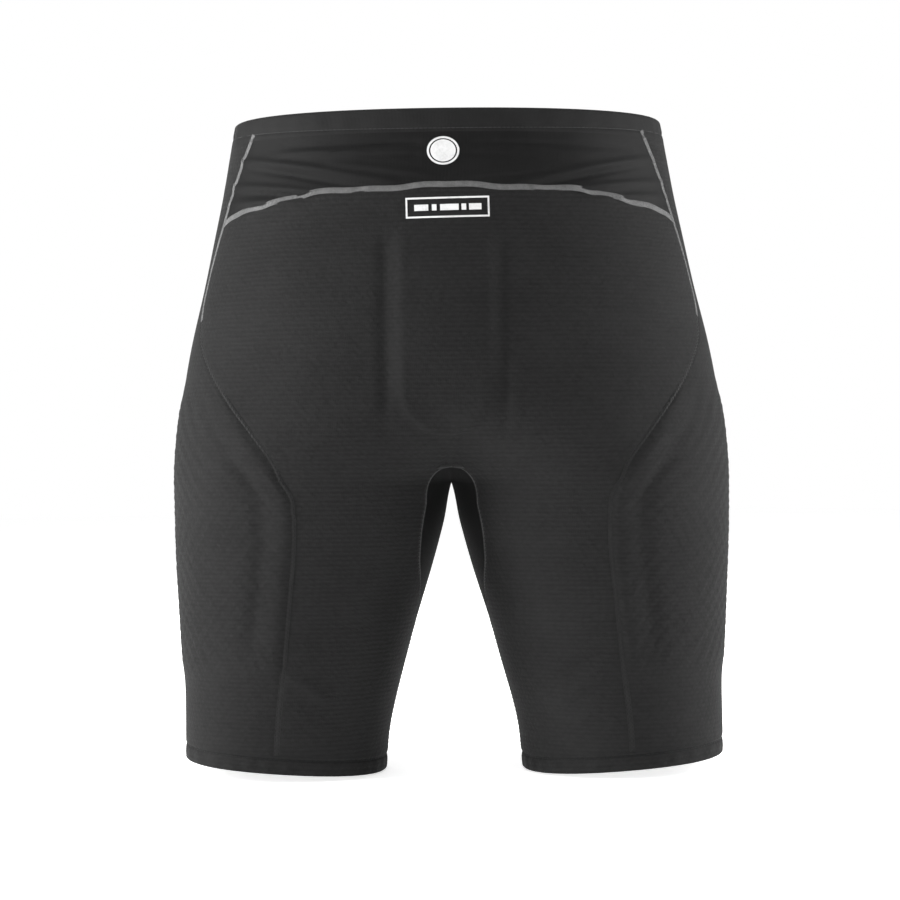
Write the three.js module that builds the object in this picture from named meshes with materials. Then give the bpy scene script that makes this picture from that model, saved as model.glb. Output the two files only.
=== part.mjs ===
// Padded impact shorts: a fitted outer shell of sewn fabric panels, an elastic waistband, two turned-up
// leg hems, and foam pads held in mesh pockets at the tailbone and round each outer thigh.
//
// Millimetres, +Z up. The wearer faces -Y, so the seat is on the +Y side and the wearer's left leg on +X.
// The origin is the centre of the waist opening, in the plane of the waistband's top edge.
//
// Every fabric piece lies on one smooth garment surface, which skin() gives. Only the wearer's left half is
// described, and the right half is its mirror image. A place on it is an angle round the leg and a height
// above the hem: 0 degrees is the outer side, 90 the back, 180 the inner thigh and -90 the front.
import * as THREE from "three";

// Overall sizes of the shorts as worn.
const INSEAM = 196; // crotch above the lowest point of the hem
const RISE = 244; // waistband edge above the crotch
const WAIST_WIDTH = 290;
const WAIST_DEPTH = 199;
const HIP_WIDTH = 376;
const SEAT_DEPTH = 225;
const LEG_OPENING_WIDTH = 137;
const LEG_OPENING_DEPTH = 148;
const LEG_GAP = 93; // between the two hems
const HEM_RAKE = 10; // how far each hem rises from its inner to its outer side

// Fabric, foam and trim.
const SHELL = 2.2; // bonded shell fabric
const KNIT = 1.1; // waistband fabric, one layer
const MESH = 0.8; // pocket lining
const ELASTIC = 1.6;
const TRANSFER = 0.5; // badge and label
const THREAD = 0.7; // height of a flatlock seam
const SEAM_WIDTH = 5;
const SEAM_GAP = 0.45; // half the gap between two sewn panels
const LAYER_GAP = 0.4; // between layers that lie on each other
const PAD_GAP = 1.3; // round a pad in its pocket
const WAISTBAND_HEIGHT = 16;
const HEM_HEIGHT = 13;
const HEM_THICKNESS = 3.4; // two layers
const PAD_FOAM = 8;
const PAD_EDGE = 2.5; // foam left at a pad's rim
const PAD_TAPER = 14; // width of the tapered rim
const POCKET_MARGIN = 10; // lining beyond the pad's rim
const LINING_TAPER = 6; // the lining falls to the pad's rim over this width

// Panels.
const YOKE_DROP = 51; // yoke seam below the waist, at the centre back
const YOKE_SIDE_DROP = 70; // and at its two corners
const YOKE_CORNER = 20; // degrees behind the outer side
const GUSSET_APEX = 11; // gusset seam above the crotch, front and back
const GUSSET_LENGTH = 101; // gusset's tip below the crotch
const TAIL_PAD_WIDTH = 66;
const TAIL_PAD_TOP = 94; // below the waist
const TAIL_PAD_HEIGHT = 124;
const THIGH_PAD_TOP = 182; // below the waist
const THIGH_PAD_FOOT = 62; // above the hem
const THIGH_PAD_INSET = 7; // degrees between the pad and the seams beside it
const BADGE_RADIUS = 10.5;
const BADGE_DROP = 29;
const LABEL_WIDTH = 54;
const LABEL_HEIGHT = 13;
const LABEL_DROP = 65;
const CARE_LABEL = [30, 44]; // width and length
const CARE_LABEL_THICKNESS = 0.8;

// Where the cloth folds at the hip: the leg turns about the hip axis, and the shell between the two slanting
// lines, FOLD_START and FOLD_END along the slope from the crotch, is what creases.
const FOLD_SLOPE = 0.75; // the groin line's rise for each millimetre outward
const FOLD_START = 15;
const FOLD_END = 96;

const HEIGHT = INSEAM + RISE;
const HIP = HIP_WIDTH / 2;
const WAIST = WAIST_WIDTH / 2;
const ROUND_CORNERS = 0.035; // squareness of the sections
const CLEFT_BLEND = 14; // width over which the two legs' surfaces run into each other
const LEGS_PART = 0.45; // they are fully apart where their centres are this share of their half width out
const leg = (share) => share * INSEAM;
const rise = (share) => INSEAM + share * RISE;
const rad = THREE.MathUtils.degToRad;

// A smooth curve through [height, value] points that never overshoots them.
function profile(points) {
  const slopes = points.slice(1).map(([z, v], i) => (v - points[i][1]) / (z - points[i][0]));
  const tangents = points.map((_, i) => {
    const [before, after] = [slopes[Math.max(i - 1, 0)], slopes[Math.min(i, slopes.length - 1)]];
    return before * after <= 0 ? 0 : (2 * before * after) / (before + after);
  });
  return (z) => {
    const last = points.length - 1;
    if (z <= points[0][0]) return points[0][1];
    if (z >= points[last][0]) return points[last][1];
    const i = points.findIndex(([top]) => z < top) - 1;
    const span = points[i + 1][0] - points[i][0];
    const t = (z - points[i][0]) / span;
    return (
      points[i][1] * (1 + 2 * t) * (1 - t) ** 2 +
      tangents[i] * span * t * (1 - t) ** 2 +
      points[i + 1][1] * t * t * (3 - 2 * t) +
      tangents[i + 1] * span * t * t * (t - 1)
    );
  };
}

// The leg's outer side, its inner side (negative above the crotch, where the two legs merge), front and back.
const HEM_INNER = LEG_GAP / 2;
const HEM_OUTER = HEM_INNER + LEG_OPENING_WIDTH;
const FRONT = SEAT_DEPTH * 0.45;
const BACK = SEAT_DEPTH - FRONT;
const outer = profile([
  [0, HEM_OUTER],
  [leg(0.25), HEM_OUTER],
  [leg(0.7), HIP - 0.8],
  [leg(1), HIP],
  [rise(0.13), THREE.MathUtils.lerp(WAIST, HIP, 0.95)],
  [rise(0.3), THREE.MathUtils.lerp(WAIST, HIP, 0.8)],
  [rise(0.55), THREE.MathUtils.lerp(WAIST, HIP, 0.49)],
  [rise(0.8), THREE.MathUtils.lerp(WAIST, HIP, 0.2)],
  [rise(1), WAIST],
]);
const inner = profile([
  [0, HEM_INNER],
  [leg(0.12), HEM_INNER * 0.96],
  [leg(0.45), HEM_INNER * 0.62],
  [leg(0.86), HEM_INNER * 0.12],
  [leg(1), 0],
  [rise(0.045), -HIP * 0.07],
  [rise(0.09), -HIP * 0.17],
  [rise(0.17), -HIP * 0.4],
  [rise(0.27), -HIP * 0.68],
  [rise(0.42), -outer(rise(0.42))],
]);
const front = profile([
  [0, LEG_OPENING_DEPTH * 0.505],
  [leg(0.6), THREE.MathUtils.lerp(LEG_OPENING_DEPTH * 0.505, FRONT, 0.5)],
  [rise(0.25), FRONT],
  [rise(0.55), FRONT],
  [rise(1), WAIST_DEPTH * 0.49],
]);
const back = profile([
  [0, LEG_OPENING_DEPTH * 0.495],
  [leg(0.6), THREE.MathUtils.lerp(LEG_OPENING_DEPTH * 0.495, BACK, 0.28)],
  [leg(1), THREE.MathUtils.lerp(LEG_OPENING_DEPTH * 0.495, BACK, 0.7)],
  [rise(0.23), BACK - 1],
  [rise(0.4), BACK],
  [rise(0.7), THREE.MathUtils.lerp(WAIST_DEPTH * 0.51, BACK, 0.4)],
  [rise(1), WAIST_DEPTH * 0.51],
]);

function section(z) {
  const out = outer(z);
  const far = z > rise(0.42) ? -out : inner(z);
  const shape = { cx: (out + far) / 2, a: (out - far) / 2, cy: (back(z) - front(z)) / 2, b: (back(z) + front(z)) / 2 };
  const reach = Math.min(1, shape.cx / shape.a);
  shape.limit = Math.PI;
  if (reach < 1) {
    let [low, high] = [Math.PI / 2, Math.PI];
    for (let i = 0; i < 40; i++) {
      const middle = (low + high) / 2;
      if (-Math.cos(middle) * squareness(middle) < reach) low = middle;
      else high = middle;
    }
    shape.limit = low;
  }
  const parting = THREE.MathUtils.smoothstep(shape.cx / shape.a, 0, LEGS_PART);
  shape.soften = parting * Math.min(CLEFT_BLEND, 0.3 * shape.b * Math.sin(shape.limit));
  return shape;
}

const squareness = (angle) => 1 + ROUND_CORNERS * Math.sin(2 * angle) ** 2;

// The furthest angle at a height: the centre line above the crotch, and the inseam below it.
const limit = (z) => section(z).limit;

// A point of the garment's outer surface. The two merging legs are blended where they meet.
function surface(angle, z) {
  const s = section(z);
  const x = s.cx + s.a * Math.cos(angle) * squareness(angle);
  let y = s.b * Math.sin(angle) * squareness(angle);
  const other = (x + s.cx) / s.a;
  if (s.limit < Math.PI && Math.abs(other) < 1 && s.soften > 0) {
    const [mine, its] = [Math.abs(y), s.b * Math.sqrt(1 - other * other)];
    const close = Math.max(s.soften - Math.abs(mine - its), 0) / s.soften;
    y = Math.sign(y) * (Math.max(mine, its) + (close * close * s.soften) / 4);
  }
  return new THREE.Vector3(x, s.cy + y, z);
}

// The outward direction there. On the centre line it lies in the plane of symmetry.
function outward(angle, z) {
  const [turn, lift] = [0.004, 0.6];
  const s = section(z);
  const low = Math.max(angle - turn, -s.limit);
  const high = Math.min(angle + turn, s.limit);
  const round = surface(high, z).sub(surface(low, z));
  const up = surface(angle, z + lift).sub(surface(angle, z - lift));
  const normal = round.cross(up).normalize();
  if (s.limit < Math.PI && Math.abs(angle) > s.limit - 1e-6) normal.setX(0).normalize();
  return normal;
}

// A point that lies `depth` under the outer surface, or over it where depth is negative.
function skin(angle, z, depth) {
  const point = surface(angle, z).addScaledVector(outward(angle, z), -depth);
  if (z > INSEAM && Math.abs(angle) > limit(z) - 1e-6) point.setX(0);
  return point;
}

// Panel edges, as angles at a height.
const degrees = (points) => {
  const curve = profile(points);
  return (z) => rad(curve(z));
};
const rearSeam = degrees([
  [0, 88],
  [leg(0.72), 87],
  [leg(0.94), 85],
  [leg(1.045), 76],
  [rise(0.14), 58],
  [rise(0.22), 45],
  [rise(0.32), 31],
  [rise(0.42), 19],
  [rise(0.52), 14],
  [rise(0.73), YOKE_CORNER],
  [rise(1), 34],
]);
const frontSeam = degrees([
  [0, -60],
  [leg(0.72), -60],
  [leg(0.94), -56],
  [rise(0.14), -44],
  [rise(0.32), -30],
  [rise(0.52), -22],
  [rise(1), -34],
]);
const GUSSET_TIP = INSEAM - GUSSET_LENGTH;
const APEX = INSEAM + GUSSET_APEX;
const gussetShape = profile([
  [GUSSET_TIP, 180],
  [GUSSET_TIP + GUSSET_LENGTH * 0.3, 160],
  [GUSSET_TIP + GUSSET_LENGTH * 0.52, 148.5],
  [GUSSET_TIP + GUSSET_LENGTH * 0.75, 144.5],
  [GUSSET_TIP + GUSSET_LENGTH * 0.95, 146],
  [APEX, THREE.MathUtils.radToDeg(limit(APEX))],
]);
function gussetSeam(z) {
  return z > APEX ? limit(z) : Math.min(rad(gussetShape(z)), limit(z));
}
const pouchWidth = degrees([
  [APEX, 0],
  [rise(0.12), 9],
  [rise(0.27), 15],
  [rise(0.55), 20],
  [rise(1), 17],
]);
const pouchSeam = (z) => (z > APEX ? -(limit(z) - pouchWidth(z)) : -gussetSeam(z));

const PANEL_TOP = HEIGHT - WAISTBAND_HEIGHT - SEAM_GAP;
function yokeSeam(angle) {
  const across = (Math.PI / 2 - Math.min(angle, Math.PI / 2)) / rad(90 - YOKE_CORNER);
  return HEIGHT - YOKE_DROP - (YOKE_SIDE_DROP - YOKE_DROP) * Math.min(1, across) ** 2.2;
}
const hemPlane = (x) => (HEM_RAKE * (x - HEM_INNER)) / LEG_OPENING_WIDTH;

// How far down the fold a point lies, measured square to the groin line.
const SLOPE_LENGTH = Math.hypot(1, FOLD_SLOPE);
const down = (point) => (FOLD_SLOPE * point.x - (point.z - INSEAM)) / SLOPE_LENGTH;

// The height at which a column of cloth, whose angle at a height is angleAt(z), meets a condition.
function heightWhere(angleAt, isBelow) {
  let [low, high] = [-HEM_RAKE, HEIGHT];
  for (let i = 0; i < 36; i++) {
    const z = (low + high) / 2;
    if (isBelow(surface(angleAt(z), z))) low = z;
    else high = z;
  }
  return low;
}
const foldHeight = (angleAt, distance) => heightWhere(angleAt, (p) => down(p) > distance);
const hemTop = (angleAt) => heightWhere(angleAt, (p) => p.z < hemPlane(p.x) + HEM_HEIGHT) + SEAM_GAP;

const MIRROR = new THREE.Vector3(-1, 1, 1);
const mirrored = (patch) =>
  patch.map((row) => row.map((pair) => pair.map((p) => p.clone().multiply(MIRROR))).reverse());

// A closed solid from patches of [outer, inner] point pairs. Edges that two patches share are left open
// inside, and every free edge gets a wall.
function solid(patches) {
  const [index, pairs, quads] = [new Map(), [], []];
  const at = (pair) => {
    const key = [...pair[0].toArray(), ...pair[1].toArray()].map((v) => Math.round(v * 1e3)).join();
    if (!index.has(key)) {
      index.set(key, pairs.length);
      pairs.push(pair);
    }
    return index.get(key);
  };
  for (const patch of patches) {
    const ids = patch.map((row) => row.map(at));
    for (let r = 0; r + 1 < ids.length; r++) {
      for (let c = 0; c + 1 < ids[r].length; c++) {
        quads.push([ids[r][c], ids[r][c + 1], ids[r + 1][c + 1], ids[r + 1][c]]);
      }
    }
  }
  const apart = (i, j) => pairs[i][0].distanceTo(pairs[j][0]);
  const triangles = quads
    .flatMap(([a, b, c, d]) =>
      apart(a, c) <= apart(b, d) ? [[a, b, c], [a, c, d]] : [[a, b, d], [b, c, d]],
    )
    .filter(([a, b, c]) => a !== b && b !== c && c !== a);
  const edges = new Map();
  for (const [a, b, c] of triangles) {
    for (const [from, to] of [[a, b], [b, c], [c, a]]) {
      if (edges.has(`${to},${from}`)) edges.delete(`${to},${from}`);
      else edges.set(`${from},${to}`, [from, to]);
    }
  }
  const positions = [];
  const face = (...corners) => corners.forEach((p) => positions.push(p.x, p.y, p.z));
  for (const [a, b, c] of triangles) {
    face(pairs[a][0], pairs[b][0], pairs[c][0]);
    face(pairs[c][1], pairs[b][1], pairs[a][1]);
  }
  for (const [from, to] of edges.values()) {
    face(pairs[to][0], pairs[from][0], pairs[from][1]);
    face(pairs[to][0], pairs[from][1], pairs[to][1]);
  }
  return facingOut(positions);
}

function facingOut(positions) {
  let volume = 0;
  const [a, b, c] = [new THREE.Vector3(), new THREE.Vector3(), new THREE.Vector3()];
  for (let i = 0; i < positions.length; i += 9) {
    a.fromArray(positions, i);
    b.fromArray(positions, i + 3);
    c.fromArray(positions, i + 6);
    volume += a.dot(b.cross(c));
  }
  if (volume < 0) {
    for (let i = 0; i < positions.length; i += 9) {
      const second = positions.slice(i + 3, i + 6);
      for (let k = 0; k < 3; k++) {
        positions[i + 3 + k] = positions[i + 6 + k];
        positions[i + 6 + k] = second[k];
      }
    }
  }
  return new THREE.BufferGeometry().setAttribute("position", new THREE.Float32BufferAttribute(positions, 3));
}

const steps = (count) => Array.from({ length: count + 1 }, (_, i) => i / count);

// The sewing gap as an angle at a height, and an edge moved into its own panel by it.
const gapAngle = (z) => SEAM_GAP / section(z).a;
const after = (edge) => (z) => edge(z) + gapAngle(z);
const before = (edge) => (z) => edge(z) - gapAngle(z);
const onCentre = (edge, z) => z > INSEAM && Math.abs(Math.abs(edge(z)) - limit(z)) < 1e-9;
const centreOr = (edge, moved) => (z) => (onCentre(edge, z) ? edge(z) : moved(edge)(z));

// A patch of cloth between two edges. Its rows start at the foot and climb through the levels, each a count
// of rows and a height, so that two panels sewn together have their rows at the same heights.
function cloth({ from, to, foot, levels, columns }) {
  const grid = steps(columns).map((across) => {
    const angleAt = (z) => THREE.MathUtils.lerp(from(z), to(z), across);
    const low = foot(angleAt);
    const heights = [low];
    for (const [rows, height] of levels) {
      const start = heights[heights.length - 1];
      const end = height(angleAt, low);
      for (let r = 1; r <= rows; r++) heights.push(THREE.MathUtils.lerp(start, end, r / rows));
    }
    return heights.map((z) => [0, SHELL].map((depth) => skin(angleAt(z), z, depth)));
  });
  return grid[0].map((_, r) => grid.map((column) => column[r]));
}

// Rows in each stretch of a panel.
const ROWS = { crotch: 2, hip: 13, yoke: 3, fold: 7, thigh: 6 };
const YOKE_CORNER_HEIGHT = HEIGHT - YOKE_SIDE_DROP;
function underYoke(angleAt) {
  let z = HEIGHT - YOKE_DROP;
  for (let i = 0; i < 20; i++) z = yokeSeam(angleAt(z));
  return z - SEAM_GAP;
}
const overYoke = (angleAt) => underYoke(angleAt) + 2 * SEAM_GAP;
const foldLine = (distance, gap) => (angleAt) => foldHeight(angleAt, distance) + gap;
const LIFT = APEX - foldHeight(gussetSeam, FOLD_START) - SEAM_GAP;
const lifted = (_, low) => low + LIFT;
const pastCrotch = [ROWS.crotch, lifted];
const toYokeCorner = [ROWS.hip, () => YOKE_CORNER_HEIGHT];
const toPanelTop = [ROWS.yoke, () => PANEL_TOP];

const rearEdges = { from: after(rearSeam), to: centreOr(gussetSeam, before) };
const sideEdges = { from: after(frontSeam), to: before(rearSeam) };
const frontEdges = { from: after(pouchSeam), to: before(frontSeam) };
const hipFoot = foldLine(FOLD_START, SEAM_GAP);

const rearSeat = cloth({
  ...rearEdges,
  foot: hipFoot,
  levels: [pastCrotch, [ROWS.hip, underYoke]],
  columns: 12,
});
const rearYoke = cloth({ from: after(rearSeam), to: limit, foot: overYoke, levels: [toPanelTop], columns: 10 });
const hipPanel = (edges, columns) =>
  cloth({ ...edges, foot: hipFoot, levels: [pastCrotch, toYokeCorner, toPanelTop], columns });
const foldPanel = (edges, columns) =>
  cloth({
    ...edges,
    foot: foldLine(FOLD_END, SEAM_GAP),
    levels: [[ROWS.fold, foldLine(FOLD_START, -SEAM_GAP)]],
    columns,
  });
const thighPanel = (edges, columns) =>
  cloth({ ...edges, foot: hemTop, levels: [[ROWS.thigh, foldLine(FOLD_END, -SEAM_GAP)]], columns });
const pouch = cloth({
  from: (z) => -limit(z),
  to: before(pouchSeam),
  foot: () => APEX + 2 * SEAM_GAP,
  levels: [toYokeCorner, toPanelTop],
  columns: 4,
});

// The gusset's middle runs under the crotch from its rear to its front apex.
function gussetMiddle() {
  const [half, corner] = [12, 6];
  const seamOf = (z) => gussetSeam(z) + gapAngle(z);
  const cornerZ = foldHeight(seamOf, FOLD_START) + SEAM_GAP;
  const rim = (step) => {
    const back = Math.min(step, 2 * half - step);
    const sign = step <= half ? 1 : -1;
    if (back <= corner) {
      const z = THREE.MathUtils.lerp(APEX - 2 * SEAM_GAP, cornerZ, back / corner);
      return [sign * Math.min(seamOf(z), limit(z)), z];
    }
    const share = (back - corner) / (half - corner);
    const angleAt = (z) => THREE.MathUtils.lerp(seamOf(z), Math.PI, share);
    const z = foldHeight(angleAt, FOLD_START) + SEAM_GAP;
    return [sign * angleAt(z), z];
  };
  return steps(2 * half).map((_, step) => {
    const toward = 1 - step / half;
    const topZ = INSEAM + (GUSSET_APEX - 2 * SEAM_GAP) * toward * toward;
    const sign = step <= half ? 1 : -1;
    const [edgeAngle, edgeZ] = rim(step);
    return steps(3).map((across) => {
      const z = THREE.MathUtils.lerp(topZ, edgeZ, across);
      const angle = sign * THREE.MathUtils.lerp(limit(topZ), Math.abs(edgeAngle), across);
      const pair = [0, SHELL].map((depth) => skin(angle, z, depth));
      return across === 0 ? pair.map((p) => p.setX(0)) : pair;
    });
  });
}

// The gusset's tail narrows to its tip on the inner thigh.
function gussetTail() {
  const columns = 6;
  return steps(6).map((down) =>
    steps(columns).map((across) => {
      const edge = (z) => gussetSeam(z) + gapAngle(z);
      const angleAt = (z) => THREE.MathUtils.lerp(edge(z), 2 * Math.PI - edge(z), across);
      const top = foldHeight((z) => wrap(angleAt(z)), FOLD_START) - SEAM_GAP;
      const z = THREE.MathUtils.lerp(top, GUSSET_TIP + 10, down);
      return [0, SHELL].map((depth) => skin(wrap(angleAt(z)), z, depth));
    }),
  );
}
const wrap = (angle) => (angle > Math.PI ? angle - 2 * Math.PI : angle);

// A ring of cloth whose section is a list of [inward, height] corners, swept once round.
function ring(count, place, corners) {
  const positions = [];
  const loops = steps(count).map((turn, i) => {
    const { at, inward, up } = place((i % count) / count);
    return corners.map(([depth, height]) => at.clone().addScaledVector(inward, depth).addScaledVector(up, height));
  });
  for (let i = 0; i < count; i++) {
    for (let k = 0; k < corners.length; k++) {
      const next = (k + 1) % corners.length;
      const [a, b, c, d] = [loops[i][k], loops[i][next], loops[i + 1][next], loops[i + 1][k]];
      [a, b, c, a, c, d].forEach((p) => positions.push(p.x, p.y, p.z));
    }
  }
  return facingOut(positions);
}

// The waistband is folded over the elastic, and open along its lower edge.
const BAND_DEPTH = 2 * KNIT + 2 * LAYER_GAP + ELASTIC;
function waistPlace(turn) {
  const angle = turn * 2 * Math.PI - Math.PI;
  const half = Math.abs(wrap(angle)) <= Math.PI / 2 ? angle : Math.sign(angle) * Math.PI - angle;
  const flip = Math.abs(angle) > Math.PI / 2 ? -1 : 1;
  const at = surface(half, HEIGHT);
  const inward = outward(half, HEIGHT).setZ(0).normalize().negate();
  at.x *= flip;
  inward.x *= flip;
  return { at, inward, up: new THREE.Vector3(0, 0, 1) };
}
// The turn of the band at which a point of its back lies x to the left of the centre.
const backTurn = (x) => 0.75 - Math.asin(x / WAIST) / (2 * Math.PI);
const waistbandCasing = () =>
  ring(48, waistPlace, [
    [0, -WAISTBAND_HEIGHT],
    [0, 0],
    [BAND_DEPTH, 0],
    [BAND_DEPTH, -WAISTBAND_HEIGHT],
    [BAND_DEPTH - KNIT, -WAISTBAND_HEIGHT],
    [BAND_DEPTH - KNIT, -KNIT],
    [KNIT, -KNIT],
    [KNIT, -WAISTBAND_HEIGHT],
  ]);
const waistElastic = () =>
  ring(48, waistPlace, [
    [KNIT + LAYER_GAP, -WAISTBAND_HEIGHT + 1],
    [KNIT + LAYER_GAP, -KNIT - LAYER_GAP],
    [KNIT + LAYER_GAP + ELASTIC, -KNIT - LAYER_GAP],
    [KNIT + LAYER_GAP + ELASTIC, -WAISTBAND_HEIGHT + 1],
  ]);

// A hem is the leg's edge turned up inside, in a plane that rises towards the outer side.
function hem(side) {
  const place = (turn) => {
    const angle = turn * 2 * Math.PI - Math.PI;
    const z = heightWhere(() => angle, (p) => p.z < hemPlane(p.x));
    const at = surface(angle, z);
    const inward = outward(angle, z).setZ(0).normalize().negate();
    inward.z = (HEM_RAKE / LEG_OPENING_WIDTH) * inward.x;
    at.x *= side;
    inward.x *= side;
    return { at, inward, up: new THREE.Vector3(0, 0, 1) };
  };
  return ring(36, place, [
    [0, 0],
    [0, HEM_HEIGHT - SEAM_GAP],
    [HEM_THICKNESS, HEM_HEIGHT - SEAM_GAP],
    [HEM_THICKNESS, 0],
  ]);
}

// A pad or its pocket: place(u, v, margin) gives an angle and height for u and v from -1 to 1, and the
// thickness falls to the rim over a given share of the half width and half height.
function padPatch(place, columns, rows, margin, layer) {
  return steps(rows).map((v) =>
    steps(columns).map((u) => {
      const [across, along] = [2 * u - 1, 2 * v - 1];
      const [angle, z] = place(across, along, margin);
      const [outerDepth, innerDepth] = layer(across, along);
      return [skin(angle, z, outerDepth), skin(angle, z, innerDepth)];
    }),
  );
}
const ease = (t) => THREE.MathUtils.smoothstep(t, 0, 1);
const fullness = (u, v, halfWidth, halfHeight, taper) =>
  ease(((1 - Math.abs(u)) * halfWidth) / taper) * ease(((1 - Math.abs(v)) * halfHeight) / taper);
const PAD_DEPTH = SHELL + PAD_GAP;
function padLayers(halfWidth, halfHeight) {
  const foam = (u, v) => {
    const full = fullness(u, v, halfWidth, halfHeight, PAD_TAPER);
    return [PAD_DEPTH, PAD_DEPTH + PAD_EDGE + (PAD_FOAM - PAD_EDGE) * full];
  };
  // The pocket is the same grid grown by its margin, so the foam's depth is looked up at the same place.
  const lining = (u, v) => {
    const [atU, atV] = [(u * (halfWidth + POCKET_MARGIN)) / halfWidth, (v * (halfHeight + POCKET_MARGIN)) / halfHeight];
    const past = Math.max((Math.abs(atU) - 1) * halfWidth, (Math.abs(atV) - 1) * halfHeight, 0) / POCKET_MARGIN;
    const under = PAD_EDGE + (PAD_FOAM - PAD_EDGE) * fullness(
      Math.min(1, Math.abs(atU)), Math.min(1, Math.abs(atV)), halfWidth, halfHeight, LINING_TAPER,
    );
    const depth = PAD_DEPTH + (under + PAD_GAP) * (1 - ease(Math.max(0, past - 0.35) / 0.65));
    return [depth, depth + MESH];
  };
  return { foam, lining };
}

// The tailbone pad is a tongue: nearly square at the top and round at the bottom.
const TAIL_TOP = HEIGHT - TAIL_PAD_TOP;
const TAIL_MIDDLE = TAIL_TOP - TAIL_PAD_HEIGHT / 2;
const TAIL_CORNERS = { top: 0.09, foot: 0.3 }; // share of the half height that a corner is rounded by
const TAIL_NARROWING = { top: 0.08, foot: 0.28 };
function tailPlace(across, along, margin) {
  const end = along < 0 ? "foot" : "top";
  const rounding = TAIL_CORNERS[end] * across * across * Math.abs(along);
  const z = TAIL_MIDDLE + along * (TAIL_PAD_HEIGHT / 2 + margin) * (1 - rounding);
  const halfWidth = (TAIL_PAD_WIDTH / 2 + margin) * (1 - TAIL_NARROWING[end] * Math.abs(along) ** 3);
  return [limit(z) - (across * halfWidth) / section(z).a, z];
}
const tailLayers = padLayers(TAIL_PAD_WIDTH / 2, TAIL_PAD_HEIGHT / 2);
// Its left half, from its outer edge to the centre line; the mirror image gives the right.
const tailHalf = (margin, layer) => {
  const place = (across, along, grown) => tailPlace((1 - across) / 2, along, grown);
  return padPatch(place, 4, 10, margin, (u, v) => layer((1 - u) / 2, v));
};

// A thigh pad wraps the outer thigh between the front and rear seams.
const THIGH_TOP = HEIGHT - THIGH_PAD_TOP;
const THIGH_HALF = (THIGH_TOP - THIGH_PAD_FOOT) / 2;
const THIGH_HALF_WIDTH = 95;
function thighPlace(across, along, margin) {
  const [top, foot] = [THIGH_TOP + margin, THIGH_PAD_FOOT - margin];
  const bow = along > 0 ? 0.3 : 0.16;
  const z = (top + foot) / 2 + along * ((top - foot) / 2) * (1 - bow * across * across * Math.abs(along));
  const inset = rad(THIGH_PAD_INSET) - margin / section(z).a;
  return [THREE.MathUtils.lerp(frontSeam(z) + inset, rearSeam(z) - inset, (across + 1) / 2), z];
}
const thighLayers = padLayers(THIGH_HALF_WIDTH, THIGH_HALF);

// A strip along a line of the garment: a flatlock seam standing on the cloth.
function seamPatch(line) {
  const spots = line.map(([angle, z]) => ({ at: surface(angle, z), normal: outward(angle, z) }));
  return spots.map(({ at, normal }, i) => {
    const tangent = spots[Math.min(i + 1, spots.length - 1)].at.clone().sub(spots[Math.max(i - 1, 0)].at);
    const side = new THREE.Vector3().crossVectors(normal, tangent).normalize();
    const onLine = at.x < 1e-6;
    return [-1, 1].map((way) =>
      [LAYER_GAP + THREAD, LAYER_GAP].map((height) => {
        const p = at.clone().addScaledVector(side, (way * SEAM_WIDTH) / 2).addScaledVector(normal, height);
        return onLine ? p.setX(0) : p;
      }),
    );
  });
}
const yokeLine = steps(14).map((t) => {
  const angle = THREE.MathUtils.lerp(rearSeam(HEIGHT - YOKE_SIDE_DROP) + rad(2), Math.PI / 2, t);
  return [angle, yokeSeam(angle)];
});
const yokeSideLine = steps(5).map((t) => {
  const z = THREE.MathUtils.lerp(HEIGHT - YOKE_SIDE_DROP + 1.3 * SEAM_WIDTH, PANEL_TOP - 1, t);
  return [rearSeam(z), z];
});
const hipSeamFoot = foldHeight(rearSeam, FOLD_START) + SEAM_WIDTH;
const hipSeamLine = steps(7).map((t) => {
  const z = THREE.MathUtils.lerp(hipSeamFoot, HEIGHT - YOKE_SIDE_DROP - SEAM_WIDTH, t);
  return [rearSeam(z), z];
});

// Transfers on the centre back, and the care label that hangs inside from the waistband.
const backAngle = (x, z) => limit(z) - x / section(z).a;
function badge() {
  const [rings, count] = [2, 24];
  const centre = HEIGHT - BADGE_DROP;
  const point = (radius, turn) => {
    const [x, z] = [radius * Math.cos(turn), centre + radius * Math.sin(turn)];
    const mirror = x < 0 ? -1 : 1;
    const pair = [-LAYER_GAP - TRANSFER, -LAYER_GAP].map((depth) => skin(backAngle(Math.abs(x), z), z, depth));
    pair.forEach((p) => p.setX(p.x * mirror));
    return pair;
  };
  const rows = steps(rings).map((share) =>
    steps(count).map((_, i) => point(BADGE_RADIUS * share, ((i % count) / count) * 2 * Math.PI)),
  );
  return solid([rows]);
}
const labelHalf = steps(2).map((v) =>
  steps(5).map((u) => {
    const z = HEIGHT - LABEL_DROP + (v - 0.5) * LABEL_HEIGHT;
    const angle = backAngle(((1 - u) * LABEL_WIDTH) / 2, z);
    return [-LAYER_GAP - TRANSFER, -LAYER_GAP].map((depth) => skin(angle, z, depth));
  }),
);
function careLabel() {
  const [width, length] = CARE_LABEL;
  const inside = Math.min(...[0, width / 2].map((x) => waistPlace(backTurn(x)).at.y)) - BAND_DEPTH;
  const geometry = new THREE.BoxGeometry(width, CARE_LABEL_THICKNESS, length);
  return geometry.translate(
    0,
    inside - LAYER_GAP - CARE_LABEL_THICKNESS / 2,
    HEIGHT - WAISTBAND_HEIGHT / 2 - length / 2,
  );
}

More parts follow.
